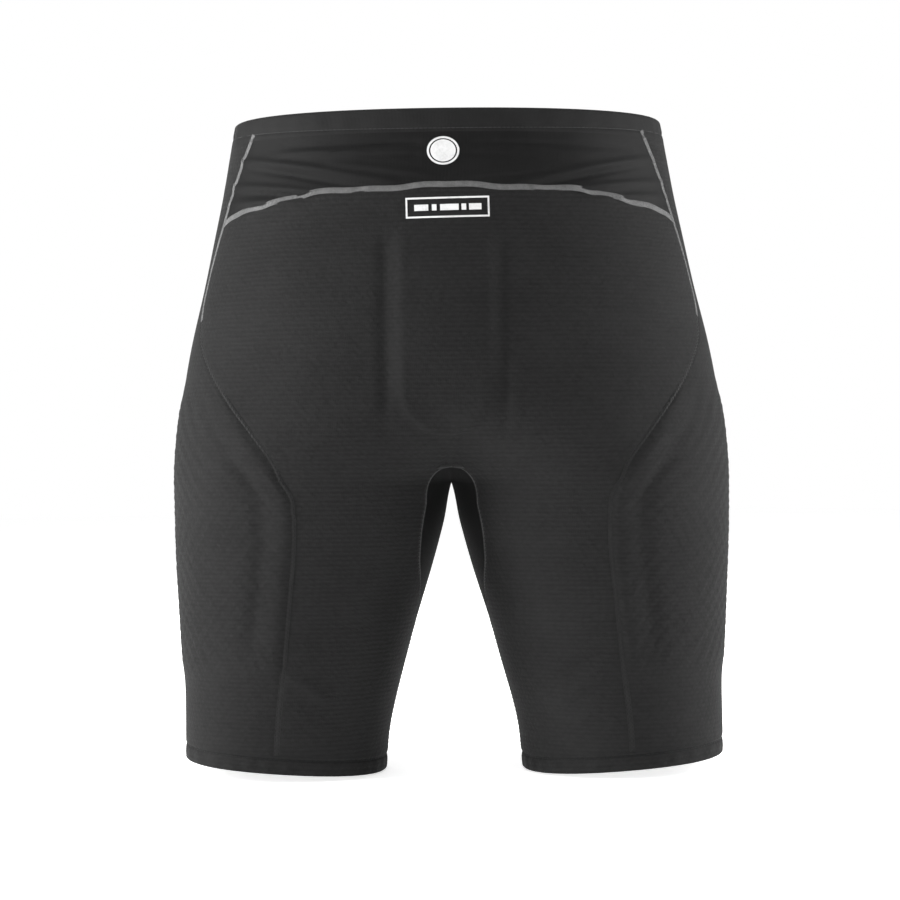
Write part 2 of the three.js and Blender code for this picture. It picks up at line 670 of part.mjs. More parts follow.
// Materials.
const cloths = {
  shell: { color: 0x2b2b2c, roughness: 0.85, metalness: 0 },
  stretch: { color: 0x1b1b1c, roughness: 0.55, metalness: 0 },
  band: { color: 0x202021, roughness: 0.6, metalness: 0 },
  thread: { color: 0x77797c, roughness: 0.8, metalness: 0 },
  foam: { color: 0x3c3f45, roughness: 0.9, metalness: 0 },
  mesh: { color: 0x18191a, roughness: 0.9, metalness: 0 },
  transfer: { color: 0xd2d3d4, roughness: 0.45, metalness: 0 },
  tape: { color: 0xe8e8e6, roughness: 0.8, metalness: 0 },
};
const garment = new THREE.Group();
garment.position.z = -HEIGHT;
function add(name, geometry, material) {
  const mesh = new THREE.Mesh(geometry, new THREE.MeshStandardMaterial(cloths[material]));
  mesh.name = name;
  garment.add(mesh);
}
const both = (patch) => solid([patch, mirrored(patch)]);
function addPair(name, patch, material) {
  add(`left_${name}`, solid([patch]), material);
  add(`right_${name}`, solid([mirrored(patch)]), material);
}

add("waistband_casing", waistbandCasing(), "band");
add("waist_elastic", waistElastic(), "tape");
add("rear_yoke", both(rearYoke), "stretch");
add("rear_panel_seat", both(rearSeat), "shell");
add("front_pouch_panel", both(pouch), "stretch");
add("crotch_gusset", both(gussetMiddle()), "stretch");
add("yoke_seam", both(seamPatch(yokeLine)), "thread");
add("tailbone_pad", both(tailHalf(0, tailLayers.foam)), "foam");
add("tailbone_pad_pocket", both(tailHalf(POCKET_MARGIN, tailLayers.lining)), "mesh");
add("round_badge", badge(), "transfer");
add("back_label", both(labelHalf), "transfer");
add("care_label", careLabel(), "tape");
addPair("side_panel_hip", hipPanel(sideEdges, 5), "shell");
addPair("front_panel_hip", hipPanel(frontEdges, 6), "shell");
addPair("yoke_side_seam", seamPatch(yokeSideLine), "thread");
addPair("hip_seam", seamPatch(hipSeamLine), "thread");
addPair("rear_panel_fold", foldPanel(rearEdges, 12), "shell");
addPair("side_panel_fold", foldPanel(sideEdges, 12), "shell");
addPair("front_panel_fold", foldPanel(frontEdges, 7), "shell");
addPair("gusset_fold", gussetTail(), "stretch");
addPair("rear_panel_thigh", thighPanel(rearEdges, 6), "shell");
addPair("side_panel_thigh", thighPanel(sideEdges, 12), "shell");
addPair("front_panel_thigh", thighPanel(frontEdges, 8), "shell");
addPair("thigh_pad", padPatch(thighPlace, 10, 12, 0, thighLayers.foam), "foam");
addPair("thigh_pad_pocket", padPatch(thighPlace, 12, 14, POCKET_MARGIN, thighLayers.lining), "mesh");
add("left_hem", hem(1), "shell");
add("right_hem", hem(-1), "shell");

export default garment;
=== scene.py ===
# %% [markdown]
# # Padded impact shorts
# Close-fitting shorts are flat pieces of stretch cloth sewn into a tube, with foam pads slipped into mesh
# pockets on the inside. This lesson follows the maker's order: cut each piece flat from a primitive, give it
# thickness, lay it on the body's form, sew the seams, fill the pockets and dye the cloth.
# The frame comes first. It says where each part lies and which body it moves with.

# %% Load the frame
import math

import bpy
import mathutils
import numpy as np
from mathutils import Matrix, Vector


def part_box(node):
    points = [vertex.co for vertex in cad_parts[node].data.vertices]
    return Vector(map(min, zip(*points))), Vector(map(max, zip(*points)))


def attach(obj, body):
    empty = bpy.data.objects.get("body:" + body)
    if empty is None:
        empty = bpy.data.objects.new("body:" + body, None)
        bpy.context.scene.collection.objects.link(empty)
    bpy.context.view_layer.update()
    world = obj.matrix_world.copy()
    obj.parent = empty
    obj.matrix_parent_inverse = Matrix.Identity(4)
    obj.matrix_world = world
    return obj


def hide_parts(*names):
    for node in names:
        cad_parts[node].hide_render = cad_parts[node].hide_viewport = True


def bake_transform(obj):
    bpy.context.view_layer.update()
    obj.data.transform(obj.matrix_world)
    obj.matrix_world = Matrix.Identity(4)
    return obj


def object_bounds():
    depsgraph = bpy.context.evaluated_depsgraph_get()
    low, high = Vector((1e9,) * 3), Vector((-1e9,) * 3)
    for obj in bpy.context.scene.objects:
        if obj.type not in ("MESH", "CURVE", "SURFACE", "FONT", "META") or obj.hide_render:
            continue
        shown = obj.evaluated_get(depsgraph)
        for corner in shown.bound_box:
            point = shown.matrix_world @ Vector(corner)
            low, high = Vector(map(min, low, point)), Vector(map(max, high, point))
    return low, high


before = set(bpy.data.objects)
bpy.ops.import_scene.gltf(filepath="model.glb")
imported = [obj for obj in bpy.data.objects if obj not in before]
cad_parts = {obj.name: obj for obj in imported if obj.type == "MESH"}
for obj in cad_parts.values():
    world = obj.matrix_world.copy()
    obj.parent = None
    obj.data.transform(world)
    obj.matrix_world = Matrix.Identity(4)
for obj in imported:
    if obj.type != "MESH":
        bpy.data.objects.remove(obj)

CAD_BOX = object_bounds()
MM = 0.001

# %% [markdown]
# ## Camera, floor and light
# Dark cloth shows its shape only where light grazes it. Two tall soft lights stand beside and a little
# behind the shorts, so that both outlines get a pale rim, and a weak front light opens up the shadows.
# A long lens keeps the waist and the hems almost straight.

# %% Camera
LENS = 105.0
CAMERA_DISTANCE = 1.80
CAMERA_ROLL = 0.65  # degrees
CAMERA_HEIGHT = -0.212  # below the waistband's edge, about half way down the shorts
bpy.ops.object.select_all(action="DESELECT")
bpy.ops.object.camera_add(
    location=(0.0006, CAMERA_DISTANCE, CAMERA_HEIGHT), rotation=(math.pi / 2, math.radians(CAMERA_ROLL), math.pi)
)
camera = bpy.context.object
camera.name = "camera"
camera.data.lens = LENS
camera.data.shift_y = -0.0172
bpy.context.scene.camera = camera
print("camera", [round(x, 3) for x in camera.location])

# %% Floor and world
FLOOR_DROP = 0.4 * MM
bpy.ops.mesh.primitive_circle_add(
    vertices=96, radius=6.0, fill_type="NGON", location=(0, 0, CAD_BOX[0].z - FLOOR_DROP)
)
floor = bpy.context.object
floor.name = "floor"
floor_paint = bpy.data.materials.new("floor_paint")
floor_paint.use_nodes = True
for socket, value in {
    "Base Color": (0.98, 0.98, 0.98, 1), "Roughness": 0.9, "Emission Color": (1, 1, 1, 1), "Emission Strength": 0.69,
}.items():
    floor_paint.node_tree.nodes["Principled BSDF"].inputs[socket].default_value = value
floor.data.materials.append(floor_paint)
world = bpy.data.worlds.new("studio")
bpy.context.scene.world = world
world.use_nodes = True
background = world.node_tree.nodes["Background"]
background.inputs["Color"].default_value = (1, 1, 1, 1)
# The backdrop looks white, but lights the cloth only weakly, so that the side lights can model its folds.
FILL = 0.30
seen_directly = world.node_tree.nodes.new("ShaderNodeLightPath")
strength = world.node_tree.nodes.new("ShaderNodeMapRange")
world.node_tree.links.new(seen_directly.outputs["Is Camera Ray"], strength.inputs["Value"])
strength.inputs["To Min"].default_value, strength.inputs["To Max"].default_value = FILL, 1.0
world.node_tree.links.new(strength.outputs["Result"], background.inputs["Strength"])
bpy.context.scene.view_settings.view_transform = "Standard"


# %% Lights
def soft_light(name, place, size, power):
    """A rectangular soft light that faces the middle of the shorts."""
    bpy.ops.object.light_add(type="AREA", location=place)
    lamp = bpy.context.object
    lamp.name = name
    lamp.data.shape = "RECTANGLE"
    lamp.data.size, lamp.data.size_y = size
    lamp.data.energy = power
    from_middle = lamp.location.copy()
    from_middle.z -= CAMERA_HEIGHT
    lamp.rotation_euler = from_middle.to_track_quat("Z", "Y").to_euler()


soft_light("key_light", (1.35, 0.40, 0.0), (0.5, 1.5), 50)
soft_light("rim_light", (-1.35, 0.10, 0.0), (0.4, 1.5), 34)
soft_light("front_light", (0.5, 2.3, 0.9), (1.2, 1.2), 5)
soft_light("far_light", (0.3, -2.0, 0.8), (1.2, 1.2), 16)
soft_light("top_light", (0.1, 0.3, 1.5), (1.8, 1.8), 16)

# %% [markdown]
# ## The form the cloth lies on
# A tailor's form has no seams: it is one smooth surface, and a place on it is an angle round the leg and a
# height above the hem. 0 degrees is the outer side, 90 the back, 180 the inner thigh and -90 the front.
# A formula is better here than a sculpted form, because every panel, seam and pad can be laid on the same
# surface at any depth, and they then fit each other exactly. Only the left half is described.

# %% Sizes of the form
waist_low, waist_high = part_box("waistband_casing")
hem_low, hem_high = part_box("left_hem")
seat_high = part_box("rear_panel_seat")[1]
HEIGHT = waist_high.z - hem_low.z
INSEAM = 196 * MM
RISE = HEIGHT - INSEAM
WAIST = waist_high.x
HIP = CAD_BOX[1].x
FRONT, BACK = -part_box("left_front_panel_hip")[0].y, seat_high.y
HEM_INNER, HEM_OUTER = hem_low.x, hem_high.x
HEM_DEPTH = 148 * MM
HEM_RAKE = 10 * MM  # the hem rises this much from its inner to its outer side
ROUND_CORNERS = 0.035
CLEFT_BLEND = 14 * MM
LEGS_PART = 0.45
print("form:", round(HEIGHT, 3), "high,", round(2 * HIP, 3), "wide,", round(FRONT + BACK, 3), "deep")


# %% Smooth curves through a few points
def profile(points):
    """A curve through (height, value) points that never overshoots them."""
    z, v = (np.array(column, float) for column in zip(*points))
    slope = np.diff(v) / np.diff(z)
    before, after = np.r_[slope[0], slope], np.r_[slope, slope[-1]]
    same = before * after > 0
    tangent = np.where(same, 2 * before * after / np.where(same, before + after, 1), 0)

    def curve(at):
        at = np.clip(at, z[0], z[-1])
        i = np.clip(np.searchsorted(z, at, side="right") - 1, 0, len(z) - 2)
        span = z[i + 1] - z[i]
        t = (at - z[i]) / span
        return (
            v[i] * (1 + 2 * t) * (1 - t) ** 2
            + tangent[i] * span * t * (1 - t) ** 2
            + v[i + 1] * t * t * (3 - 2 * t)
            + tangent[i + 1] * span * t * t * (t - 1)
        )

    return curve


def leg(share):
    return share * INSEAM


def rise(share):
    return INSEAM + share * RISE


def mix(a, b, t):
    return a + (b - a) * t


def ease(t):
    t = np.clip(t, 0, 1)
    return t * t * (3 - 2 * t)


def bisect(low, high, short, steps=30):
    """Halves a range again and again to find where short(value) stops being true."""
    for _ in range(steps):
        middle = (low + high) / 2
        below = short(middle)
        low, high = np.where(below, middle, low), np.where(below, high, middle)
    return low


outer = profile([
    (0, HEM_OUTER), (leg(0.25), HEM_OUTER), (leg(0.7), HIP - 0.8 * MM), (leg(1), HIP),
    (rise(0.13), mix(WAIST, HIP, 0.95)), (rise(0.3), mix(WAIST, HIP, 0.8)), (rise(0.55), mix(WAIST, HIP, 0.49)),
    (rise(0.8), mix(WAIST, HIP, 0.2)), (rise(1), WAIST),
])
inner = profile([
    (0, HEM_INNER), (leg(0.12), HEM_INNER * 0.96), (leg(0.45), HEM_INNER * 0.62), (leg(0.86), HEM_INNER * 0.12),
    (leg(1), 0), (rise(0.045), -HIP * 0.07), (rise(0.09), -HIP * 0.17), (rise(0.17), -HIP * 0.4),
    (rise(0.27), -HIP * 0.68), (rise(0.42), -float(outer(rise(0.42)))),
])
front = profile([
    (0, HEM_DEPTH * 0.505), (leg(0.6), mix(HEM_DEPTH * 0.505, FRONT, 0.5)), (rise(0.25), FRONT),
    (rise(0.55), FRONT), (rise(1), -waist_low.y),
])
back = profile([
    (0, HEM_DEPTH * 0.495), (leg(0.6), mix(HEM_DEPTH * 0.495, BACK, 0.28)),
    (leg(1), mix(HEM_DEPTH * 0.495, BACK, 0.7)), (rise(0.23), BACK - 1 * MM), (rise(0.4), BACK),
    (rise(0.7), mix(waist_high.y, BACK, 0.4)), (rise(1), waist_high.y),
])


# %% The surface itself
def squareness(angle):
    return 1 + ROUND_CORNERS * np.sin(2 * angle) ** 2


class Section:
    """The cut through the left leg, or the left half of the hips, at each of some heights."""

    def __init__(self, z):
        out = outer(z)
        far = np.where(z > rise(0.42), -out, inner(z))
        self.cx, self.a = (out + far) / 2, (out - far) / 2
        self.cy, self.b = (back(z) - front(z)) / 2, (back(z) + front(z)) / 2
        reach = np.minimum(1, self.cx / self.a)
        quarter, half = np.full_like(reach, math.pi / 2), np.full_like(reach, math.pi)
        centre = bisect(quarter, half, lambda angle: -np.cos(angle) * squareness(angle) < reach, 36)
        self.limit = np.where(reach < 1, centre, math.pi)
        parting = ease(self.cx / self.a / LEGS_PART)
        self.soften = parting * np.minimum(CLEFT_BLEND, 0.3 * self.b * np.sin(self.limit))


def limit(z):
    """The furthest angle: the centre line above the crotch, and the inner thigh below it."""
    return Section(np.asarray(z, float)).limit


def surface(angle, z):
    """Points on the form, in the frame's place. The two legs are blended where they meet."""
    angle, z = np.broadcast_arrays(np.asarray(angle, float), np.asarray(z, float))
    s = Section(z)
    x = s.cx + s.a * np.cos(angle) * squareness(angle)
    y = s.b * np.sin(angle) * squareness(angle)
    other = np.clip((x + s.cx) / s.a, -1, 1)
    its = s.b * np.sqrt(1 - other * other)
    soften = np.maximum(s.soften, 1e-9)
    close = np.maximum(soften - np.abs(np.abs(y) - its), 0) / soften
    joined = np.sign(y) * (np.maximum(np.abs(y), its) + close * close * soften / 4)
    blended = (s.limit < math.pi) & (np.abs((x + s.cx) / s.a) < 1) & (s.soften > 0)
    return np.stack([x, s.cy + np.where(blended, joined, y), z - HEIGHT], -1)


def unit(v):
    return v / np.maximum(np.linalg.norm(v, axis=-1, keepdims=True), 1e-12)


def outward(angle, z):
    """The direction out of the form. On the centre line it has no sideways part."""
    angle, z = np.broadcast_arrays(np.asarray(angle, float), np.asarray(z, float))
    furthest = limit(z)
    low, high = np.maximum(angle - 0.004, -furthest), np.minimum(angle + 0.004, furthest)
    lift = 0.6 * MM
    normal = unit(np.cross(surface(high, z) - surface(low, z), surface(angle, z + lift) - surface(angle, z - lift)))
    central = (furthest < math.pi) & (np.abs(angle) > furthest - 1e-6)
    normal[..., 0] = np.where(central, 0, normal[..., 0])
    return unit(normal)


print("seat at its fullest:", surface(math.pi / 2, rise(0.4)).round(3))

# %% [markdown]
# ## Seam lines
# The seams follow the wearer's muscles. Each is an angle for every height, so that two panels that share a
# seam read the same numbers. The gusset is the diamond between the legs, which takes the strain there.

# %% Where the panels meet
YOKE_DROP, YOKE_SIDE_DROP, YOKE_CORNER = 51 * MM, 70 * MM, 20
GUSSET_APEX, GUSSET_LENGTH = 11 * MM, 101 * MM
WAISTBAND_HEIGHT, HEM_HEIGHT = 16 * MM, 13 * MM
APEX, GUSSET_TIP = INSEAM + GUSSET_APEX, INSEAM - GUSSET_LENGTH
PANEL_TOP = HEIGHT - WAISTBAND_HEIGHT


def degrees(points):
    curve = profile(points)
    return lambda z: np.radians(curve(z))


rear_seam = degrees([
    (0, 88), (leg(0.72), 87), (leg(0.94), 85), (leg(1.045), 76), (rise(0.14), 58), (rise(0.22), 45),
    (rise(0.32), 31), (rise(0.42), 19), (rise(0.52), 14), (rise(0.73), YOKE_CORNER), (rise(1), 34),
])
front_seam = degrees([
    (0, -60), (leg(0.72), -60), (leg(0.94), -56), (rise(0.14), -44), (rise(0.32), -30), (rise(0.52), -22),
    (rise(1), -34),
])
gusset_shape = degrees([
    (GUSSET_TIP, 180), (GUSSET_TIP + GUSSET_LENGTH * 0.3, 160), (GUSSET_TIP + GUSSET_LENGTH * 0.52, 148.5),
    (GUSSET_TIP + GUSSET_LENGTH * 0.75, 144.5), (GUSSET_TIP + GUSSET_LENGTH * 0.95, 146),
    (APEX, math.degrees(float(limit(APEX)))),
])
pouch_width = degrees([(APEX, 0), (rise(0.12), 9), (rise(0.27), 15), (rise(0.55), 20), (rise(1), 17)])


GUSSET_SHOULDER = GUSSET_TIP + GUSSET_LENGTH * 0.86


def gusset_seam(z):
    """The gusset's edge. Above its shoulder it closes in a round arch."""
    z = np.asarray(z, float)
    shoulder = gusset_shape(GUSSET_SHOULDER)
    half_width = surface(shoulder, GUSSET_SHOULDER)[0]
    up = np.clip((z - GUSSET_SHOULDER) / (APEX - GUSSET_SHOULDER), 0, 1)
    s = Section(z)
    arch = np.arccos(np.clip((half_width * np.sqrt(1 - up**2.6) - s.cx) / s.a / squareness(shoulder), -1, 1))
    edge = np.where(z < GUSSET_SHOULDER, gusset_shape(z), arch)
    return np.where(z > APEX, s.limit, np.minimum(edge, s.limit))


def pouch_seam(z):
    return np.where(z > APEX, pouch_width(z) - limit(z), -gusset_seam(z))


def yoke_seam(angle):
    across = (math.pi / 2 - np.minimum(angle, math.pi / 2)) / math.radians(90 - YOKE_CORNER)
    return HEIGHT - YOKE_DROP - (YOKE_SIDE_DROP - YOKE_DROP) * np.clip(across, 0, 1) ** 2.2


def hem_plane(x):
    return HEM_RAKE * (x - HEM_INNER) / (HEM_OUTER - HEM_INNER)


def hem_line(angle_at, above):
    """The height, for each column of cloth, at which it is `above` over the hem's edge."""
    def under(z):
        p = surface(angle_at(z), z)
        return p[..., 2] + HEIGHT < hem_plane(p[..., 0]) + above

    shape = angle_at(0.0).shape
    return bisect(np.full(shape, -HEM_RAKE), np.full(shape, HEIGHT / 2), under)


print("gusset from", round(GUSSET_TIP, 3), "to", round(APEX, 3))

# %% [markdown]
# ## What shows through the cloth
# Tight cloth takes the shape of what lies under it. The tailbone pad stands out as a soft tongue between two
# channels, each thigh pad shows its edge and one channel, and the thin cloth above them gathers in soft
# creases where the waistband pulls. All of this moves the cloth by only a millimetre or two, so it is one
# formula that is added to the form, and panels that meet at a seam are lifted alike.

# %% Soft steps, ridges and creases
def bell(t):
    return np.exp(-t * t)


def step_up(value, edge, width):
    """0 well below the edge, 1 well above it."""
    return ease((value - edge) / width + 0.5)


def crease(x, z, start, end, half):
    """A crease along a straight line, as the wearer's back shows it. It dies away towards both its ends."""
    (x0, z0), (x1, z1) = start, end
    length = (x1 - x0) ** 2 + (z1 - z0) ** 2
    t = np.clip(((x - x0) * (x1 - x0) + (z - z0) * (z1 - z0)) / length, 0, 1)
    away = np.hypot(x - x0 - t * (x1 - x0), z - z0 - t * (z1 - z0))
    return bell(away / half) * np.sin(math.pi * t) ** 0.7  # the power keeps most of its length full


# Soft creases: where one starts and ends across the back, its half width, and how far it stands out.
YOKE_CREASES = [
    ((0.150, -0.026), (0.030, -0.049), 2.3, 1.1), ((0.158, -0.043), (0.070, -0.056), 2.2, 0.9),
    ((0.134, -0.034), (0.052, -0.053), 1.9, -0.9), ((0.150, -0.056), (0.092, -0.061), 2.2, 0.8),
    ((0.142, -0.050), (0.086, -0.057), 1.6, -0.6), ((0.110, -0.022), (-0.010, -0.0235), 2.0, -0.9),
    ((0.120, -0.027), (0.016, -0.0285), 1.8, 0.8), ((-0.012, -0.0235), (-0.122, -0.025), 2.0, -0.8),
    ((-0.140, -0.029), (-0.040, -0.050), 2.2, 1.0), ((-0.150, -0.044), (-0.062, -0.056), 2.0, 0.8),
    ((-0.126, -0.036), (-0.054, -0.053), 1.8, -0.8), ((-0.148, -0.054), (-0.084, -0.061), 2.0, 0.7),
    ((0.080, -0.035), (0.006, -0.044), 2.0, 0.8), ((-0.008, -0.045), (-0.076, -0.039), 1.9, 0.7),
    ((0.060, -0.030), (-0.060, -0.032), 1.7, -0.5),
]
LEG_CREASES = [
    ((-0.112, -0.359), (-0.062, -0.394), 4.2, 1.1), ((-0.104, -0.352), (-0.060, -0.380), 4.0, -0.7),
    ((0.112, -0.366), (0.074, -0.392), 4.2, 0.7), ((0.050, -0.300), (0.074, -0.330), 5.0, 0.5),
    ((0.064, -0.205), (0.104, -0.226), 6.0, 0.5), ((-0.064, -0.210), (-0.100, -0.228), 6.0, 0.5),
]
print("soft creases:", len(YOKE_CREASES) + len(LEG_CREASES))

# %% How far the cloth is lifted
# Places and widths are in metres and heights are below the waist, but every rise and depth is in millimetres.
TONGUE = {"middle": 0.003, "half": 0.030, "top": -0.082, "foot": -0.212, "rise": 1.7}
CHANNEL = {"out": 0.0385, "half": 0.0042, "depth": 1.3, "top": -0.086, "foot": -0.205}
THIGH_EDGE = profile([
    (-0.44, 0.122), (-0.366, 0.1145), (-0.31, 0.1075), (-0.262, 0.1035), (-0.22, 0.127), (-0.18, 0.152),
])
RIDGE = {"out": 0.004, "half": 0.006, "rise": 0.8}
GROOVE = {"out": 0.0195, "half": 0.0062, "depth": 1.3, "top": -0.214, "foot": -0.352}
PAD_RISE, CELL_RISE, CREASE_RISE, WAVE_RISE = 0.9, 0.36, 1.9, 0.258
MARK_AT = (0.003, -0.029)  # middle of the round print


def lift(angle, z, side):
    """How far the cloth stands off the form, in metres."""
    p = surface(angle, z)
    x, height = p[..., 0] * side, p[..., 2]
    behind = ease(np.sin(angle) * 1.6 + 0.1)
    u = x - TONGUE["middle"]
    into_foot = np.clip((TONGUE["foot"] + TONGUE["half"] - height) / TONGUE["half"], 0, 1)
    narrow = TONGUE["half"] * np.sqrt(1 - into_foot**2)
    tongue = step_up(narrow, np.abs(u), 0.008) * step_up(height, TONGUE["foot"], 0.006)
    tongue = tongue * step_up(TONGUE["top"], height, 0.02)
    channel = bell((np.abs(u) - CHANNEL["out"]) / CHANNEL["half"])
    channel = channel * step_up(height, CHANNEL["foot"], 0.05) * step_up(CHANNEL["top"], height, 0.02)
    total = behind * (TONGUE["rise"] * tongue - CHANNEL["depth"] * channel)
    edge = THIGH_EDGE(height)
    along = step_up(height, -0.369, 0.020) * step_up(-0.184, height, 0.026)
    beyond = p[..., 0] - edge
    pad = step_up(beyond, 0, 0.011) * along
    ridge = bell((beyond - RIDGE["out"]) / RIDGE["half"]) * along
    groove = bell((beyond - GROOVE["out"]) / GROOVE["half"])
    groove = groove * step_up(height, GROOVE["foot"], 0.04) * step_up(GROOVE["top"], height, 0.04)
    # The foam's cells show faintly through the cloth.
    across, up = 45 * angle, 600 * height
    cells = np.sin(across + 2.4 * np.sin(up / 13) + 1.3 * np.sin(up / 5.3)) * np.sin(
        up + 2.4 * np.sin(across / 11) + 1.3 * np.sin(across / 4.7))
    total = total + (PAD_RISE + CELL_RISE * cells) * pad + RIDGE["rise"] * ridge - GROOVE["depth"] * groove
    folds = sum(
        out * crease(x, height, start, end, half * MM) for start, end, half, out in YOKE_CREASES + LEG_CREASES
    )
    # The round print stiffens the cloth that it is pressed on, so no crease crosses it.
    supple = step_up(np.hypot(x - MARK_AT[0], height - MARK_AT[1]), 0.0155, 0.009)
    total = total + CREASE_RISE * behind * supple * folds
    # Long slow waves, so that no part of the cloth is as smooth as a formula.
    slow = np.sin(41 * x + 33 * height) * np.sin(57 * height - 22 * x + p[..., 1] * 31)
    total = total + WAVE_RISE * slow * step_up(-0.05, height, 0.05)
    return total * MM * step_up(-0.018, height, 0.012) * step_up(height, -0.424, 0.012)


def lay(angle, z, out, side=1):
    """Points `out` metres outside the lifted cloth, on the wearer's left (side 1) or right (side -1)."""
    angle, z = np.broadcast_arrays(np.asarray(angle, float), np.asarray(z, float))
    p = surface(angle, z) + outward(angle, z) * (lift(angle, z, side) + out)[..., None]
    p[..., 0] *= side
    return p


sample = lift(np.full(5, math.pi / 2), np.linspace(rise(0.2), rise(0.8), 5), 1)
print("lift down the middle of the left seat, mm:", (sample / MM).round(2))

# %% [markdown]
# ## Cutting a panel
# A panel starts as a flat grid, as cloth starts on the cutting table. Each column of the grid runs from the
# hem to the yoke, and each row from one seam to the next. Laying it on the form gives it its shape, and a
# Solidify modifier gives it the thickness of the knit. Its UV map is in metres of cloth, so that the
# knit's rows stay level and keep their size from one panel to the next.

# %% Laying a grid on the form
SHELL, KNIT, MESH_CLOTH = 2.2 * MM, 1.1 * MM, 0.8 * MM
STITCH = 2.3 * MM  # size of one cell of a panel's grid
SEAM_DIP = 0.5 * MM  # how far the cloth rolls down to a seam
SEAM_ROLL = 5 * MM


def select_only(piece):
    bpy.ops.object.select_all(action="DESELECT")
    piece.select_set(True)
    bpy.context.view_layer.objects.active = piece


def apply_modifier(piece, kind, **settings):
    select_only(piece)
    modifier = piece.modifiers.new(kind.title(), kind)
    for key, value in settings.items():
        setattr(modifier, key, value)
    bpy.ops.object.modifier_apply(modifier=modifier.name)


def smooth(piece, sharp):
    """Shades a piece smooth, but not over edges sharper than this many degrees."""
    select_only(piece)
    bpy.ops.object.shade_smooth_by_angle(angle=math.radians(sharp))


def face_outward(piece, sharp):
    select_only(piece)
    bpy.ops.object.mode_set(mode="EDIT")
    bpy.ops.mesh.select_all(action="SELECT")
    bpy.ops.mesh.normals_make_consistent(inside=False)
    bpy.ops.object.mode_set(mode="OBJECT")
    smooth(piece, sharp)


def grid(name, columns, rows):
    bpy.ops.object.select_all(action="DESELECT")
    bpy.ops.mesh.primitive_grid_add(x_subdivisions=columns, y_subdivisions=rows, size=1)
    piece = bpy.context.object
    piece.name = piece.data.name = name
    return piece


def arc(points, axis):
    """Length of cloth along an axis of a grid of points, from its first edge."""
    steps = np.linalg.norm(np.diff(points, axis=axis), axis=-1)
    return np.concatenate([np.zeros_like(np.take(steps, [0], axis)), np.cumsum(steps, axis)], axis)


def set_points(piece, points):
    piece.data.vertices.foreach_set("co", np.ascontiguousarray(points, np.float32).ravel())
    piece.data.update()


def set_uv(piece, uv):
    """uv holds one pair of metres for each vertex."""
    corners = np.empty(len(piece.data.loops), np.int32)
    piece.data.loops.foreach_get("vertex_index", corners)
    piece.data.uv_layers.active.data.foreach_set("uv", np.ascontiguousarray(uv[corners], np.float32).ravel())


def make_cloth(piece, points, uv, thick):
    """Lays a grid on its points, with a UV map in metres, and gives it the thickness of cloth."""
    set_points(piece, points.reshape(-1, 3))
    set_uv(piece, uv.reshape(-1, 2))
    apply_modifier(piece, "SOLIDIFY", thickness=thick, offset=-1, use_even_offset=False)
    smooth(piece, 50)


def panel_columns(count, side, centre):
    """Each column's share of the way from one seam to the other, and its side of the body (0 asks for both)."""
    share = np.linspace(0, 1, count + 1)
    if side:
        return share[::side], np.full(count + 1, side)
    out = share if centre == "stop" else share[::-1]
    first = 1 if centre == "stop" else -1
    return np.r_[out, out[-2::-1]], np.r_[np.full(count + 1, first), np.full(count, -first)]


def panel(name, start, stop, foot, top, side, centre, sewn, depth=0.0, thick=SHELL, cell=STITCH):
    """A panel between two seams (angles for each height), and between its foot and its top.

    centre says which of start and stop lies nearer the middle of the body. sewn says which of the four edges
    (start, stop, foot, top) roll down into a seam.
    """
    def laid(count):
        share, sides = panel_columns(count, side, centre)
        low, high = (edge(lambda z: mix(start(z), stop(z), share)) for edge in (foot, top))
        z = low + np.linspace(0, 1, rows + 1)[:, None] * (high - low)
        angle = mix(start(z), stop(z), share)
        return angle, z, sides, lay(angle, z, -depth, sides)

    rows = 12
    size = laid(12)[3]
    count = max(4, round(float(arc(size, 1)[:, -1].max()) / cell))
    rows = max(4, round(float(arc(size, 0)[-1].max()) / cell))
    count = count if side else max(4, count // 2)
    angle, z, sides, flat = laid(count)
    across, along = arc(flat, 1), arc(flat, 0)
    first, last = (sewn[0], sewn[1]) if side > 0 else (sewn[1], sewn[0])
    if not side:
        first = last = sewn[0] if centre == "stop" else sewn[1]
    edges = [(across, first), (across[:, -1:] - across, last), (along, sewn[2]), (along[-1:] - along, sewn[3])]
    dip = sum((1 - ease(edge / SEAM_ROLL)) ** 2 for edge, is_sewn in edges if is_sewn) + 0 * across
    points = lay(angle, z, -depth - SEAM_DIP * np.minimum(dip, 1), sides)
    if side == 0:
        points[:, count, 0] = 0
    piece = grid(name, points.shape[1] - 1, rows)
    middle = count if side == 0 else (-1 if (centre == "stop") == (side > 0) else 0)
    start_at = flat[:, middle, 0] * (-1 if centre == "stop" else 1)
    make_cloth(piece, points, np.stack([across - across[:, middle][:, None] + start_at[:, None], z], -1), thick)
    return piece


def to_hem(column):
    return hem_line(column, HEM_HEIGHT)


def yoke_height(column, lowest):
    shape = column(0.0).shape
    return bisect(np.full(shape, lowest), np.full(shape, PANEL_TOP), lambda z: z < yoke_seam(column(z)))


def under_yoke(column):
    return yoke_height(column, rise(0.4))


def over_yoke(column):
    return np.minimum(yoke_height(column, rise(0.6)), PANEL_TOP - 1 * MM)


def at_height(z):
    return lambda column: np.full(np.shape(column(z)), float(z))


# Pieces that reach from the hip down a leg have their place baked into their points and are not attached to a body.
SIDES = {"left": 1, "right": -1}


def leg_of(side):
    return "leg_left" if side > 0 else "leg_right"


def bend_with(piece):
    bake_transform(piece)


# %% [markdown]
# ## Writing a dye as a formula
# Cloth on these shorts is never one flat colour: each knit has its own rows, dashes and grain. Such a pattern
# could be painted as an image, but a formula stays sharp at every distance. The small class below lets
# shader nodes be written as ordinary maths, and each material is then a few readable lines.

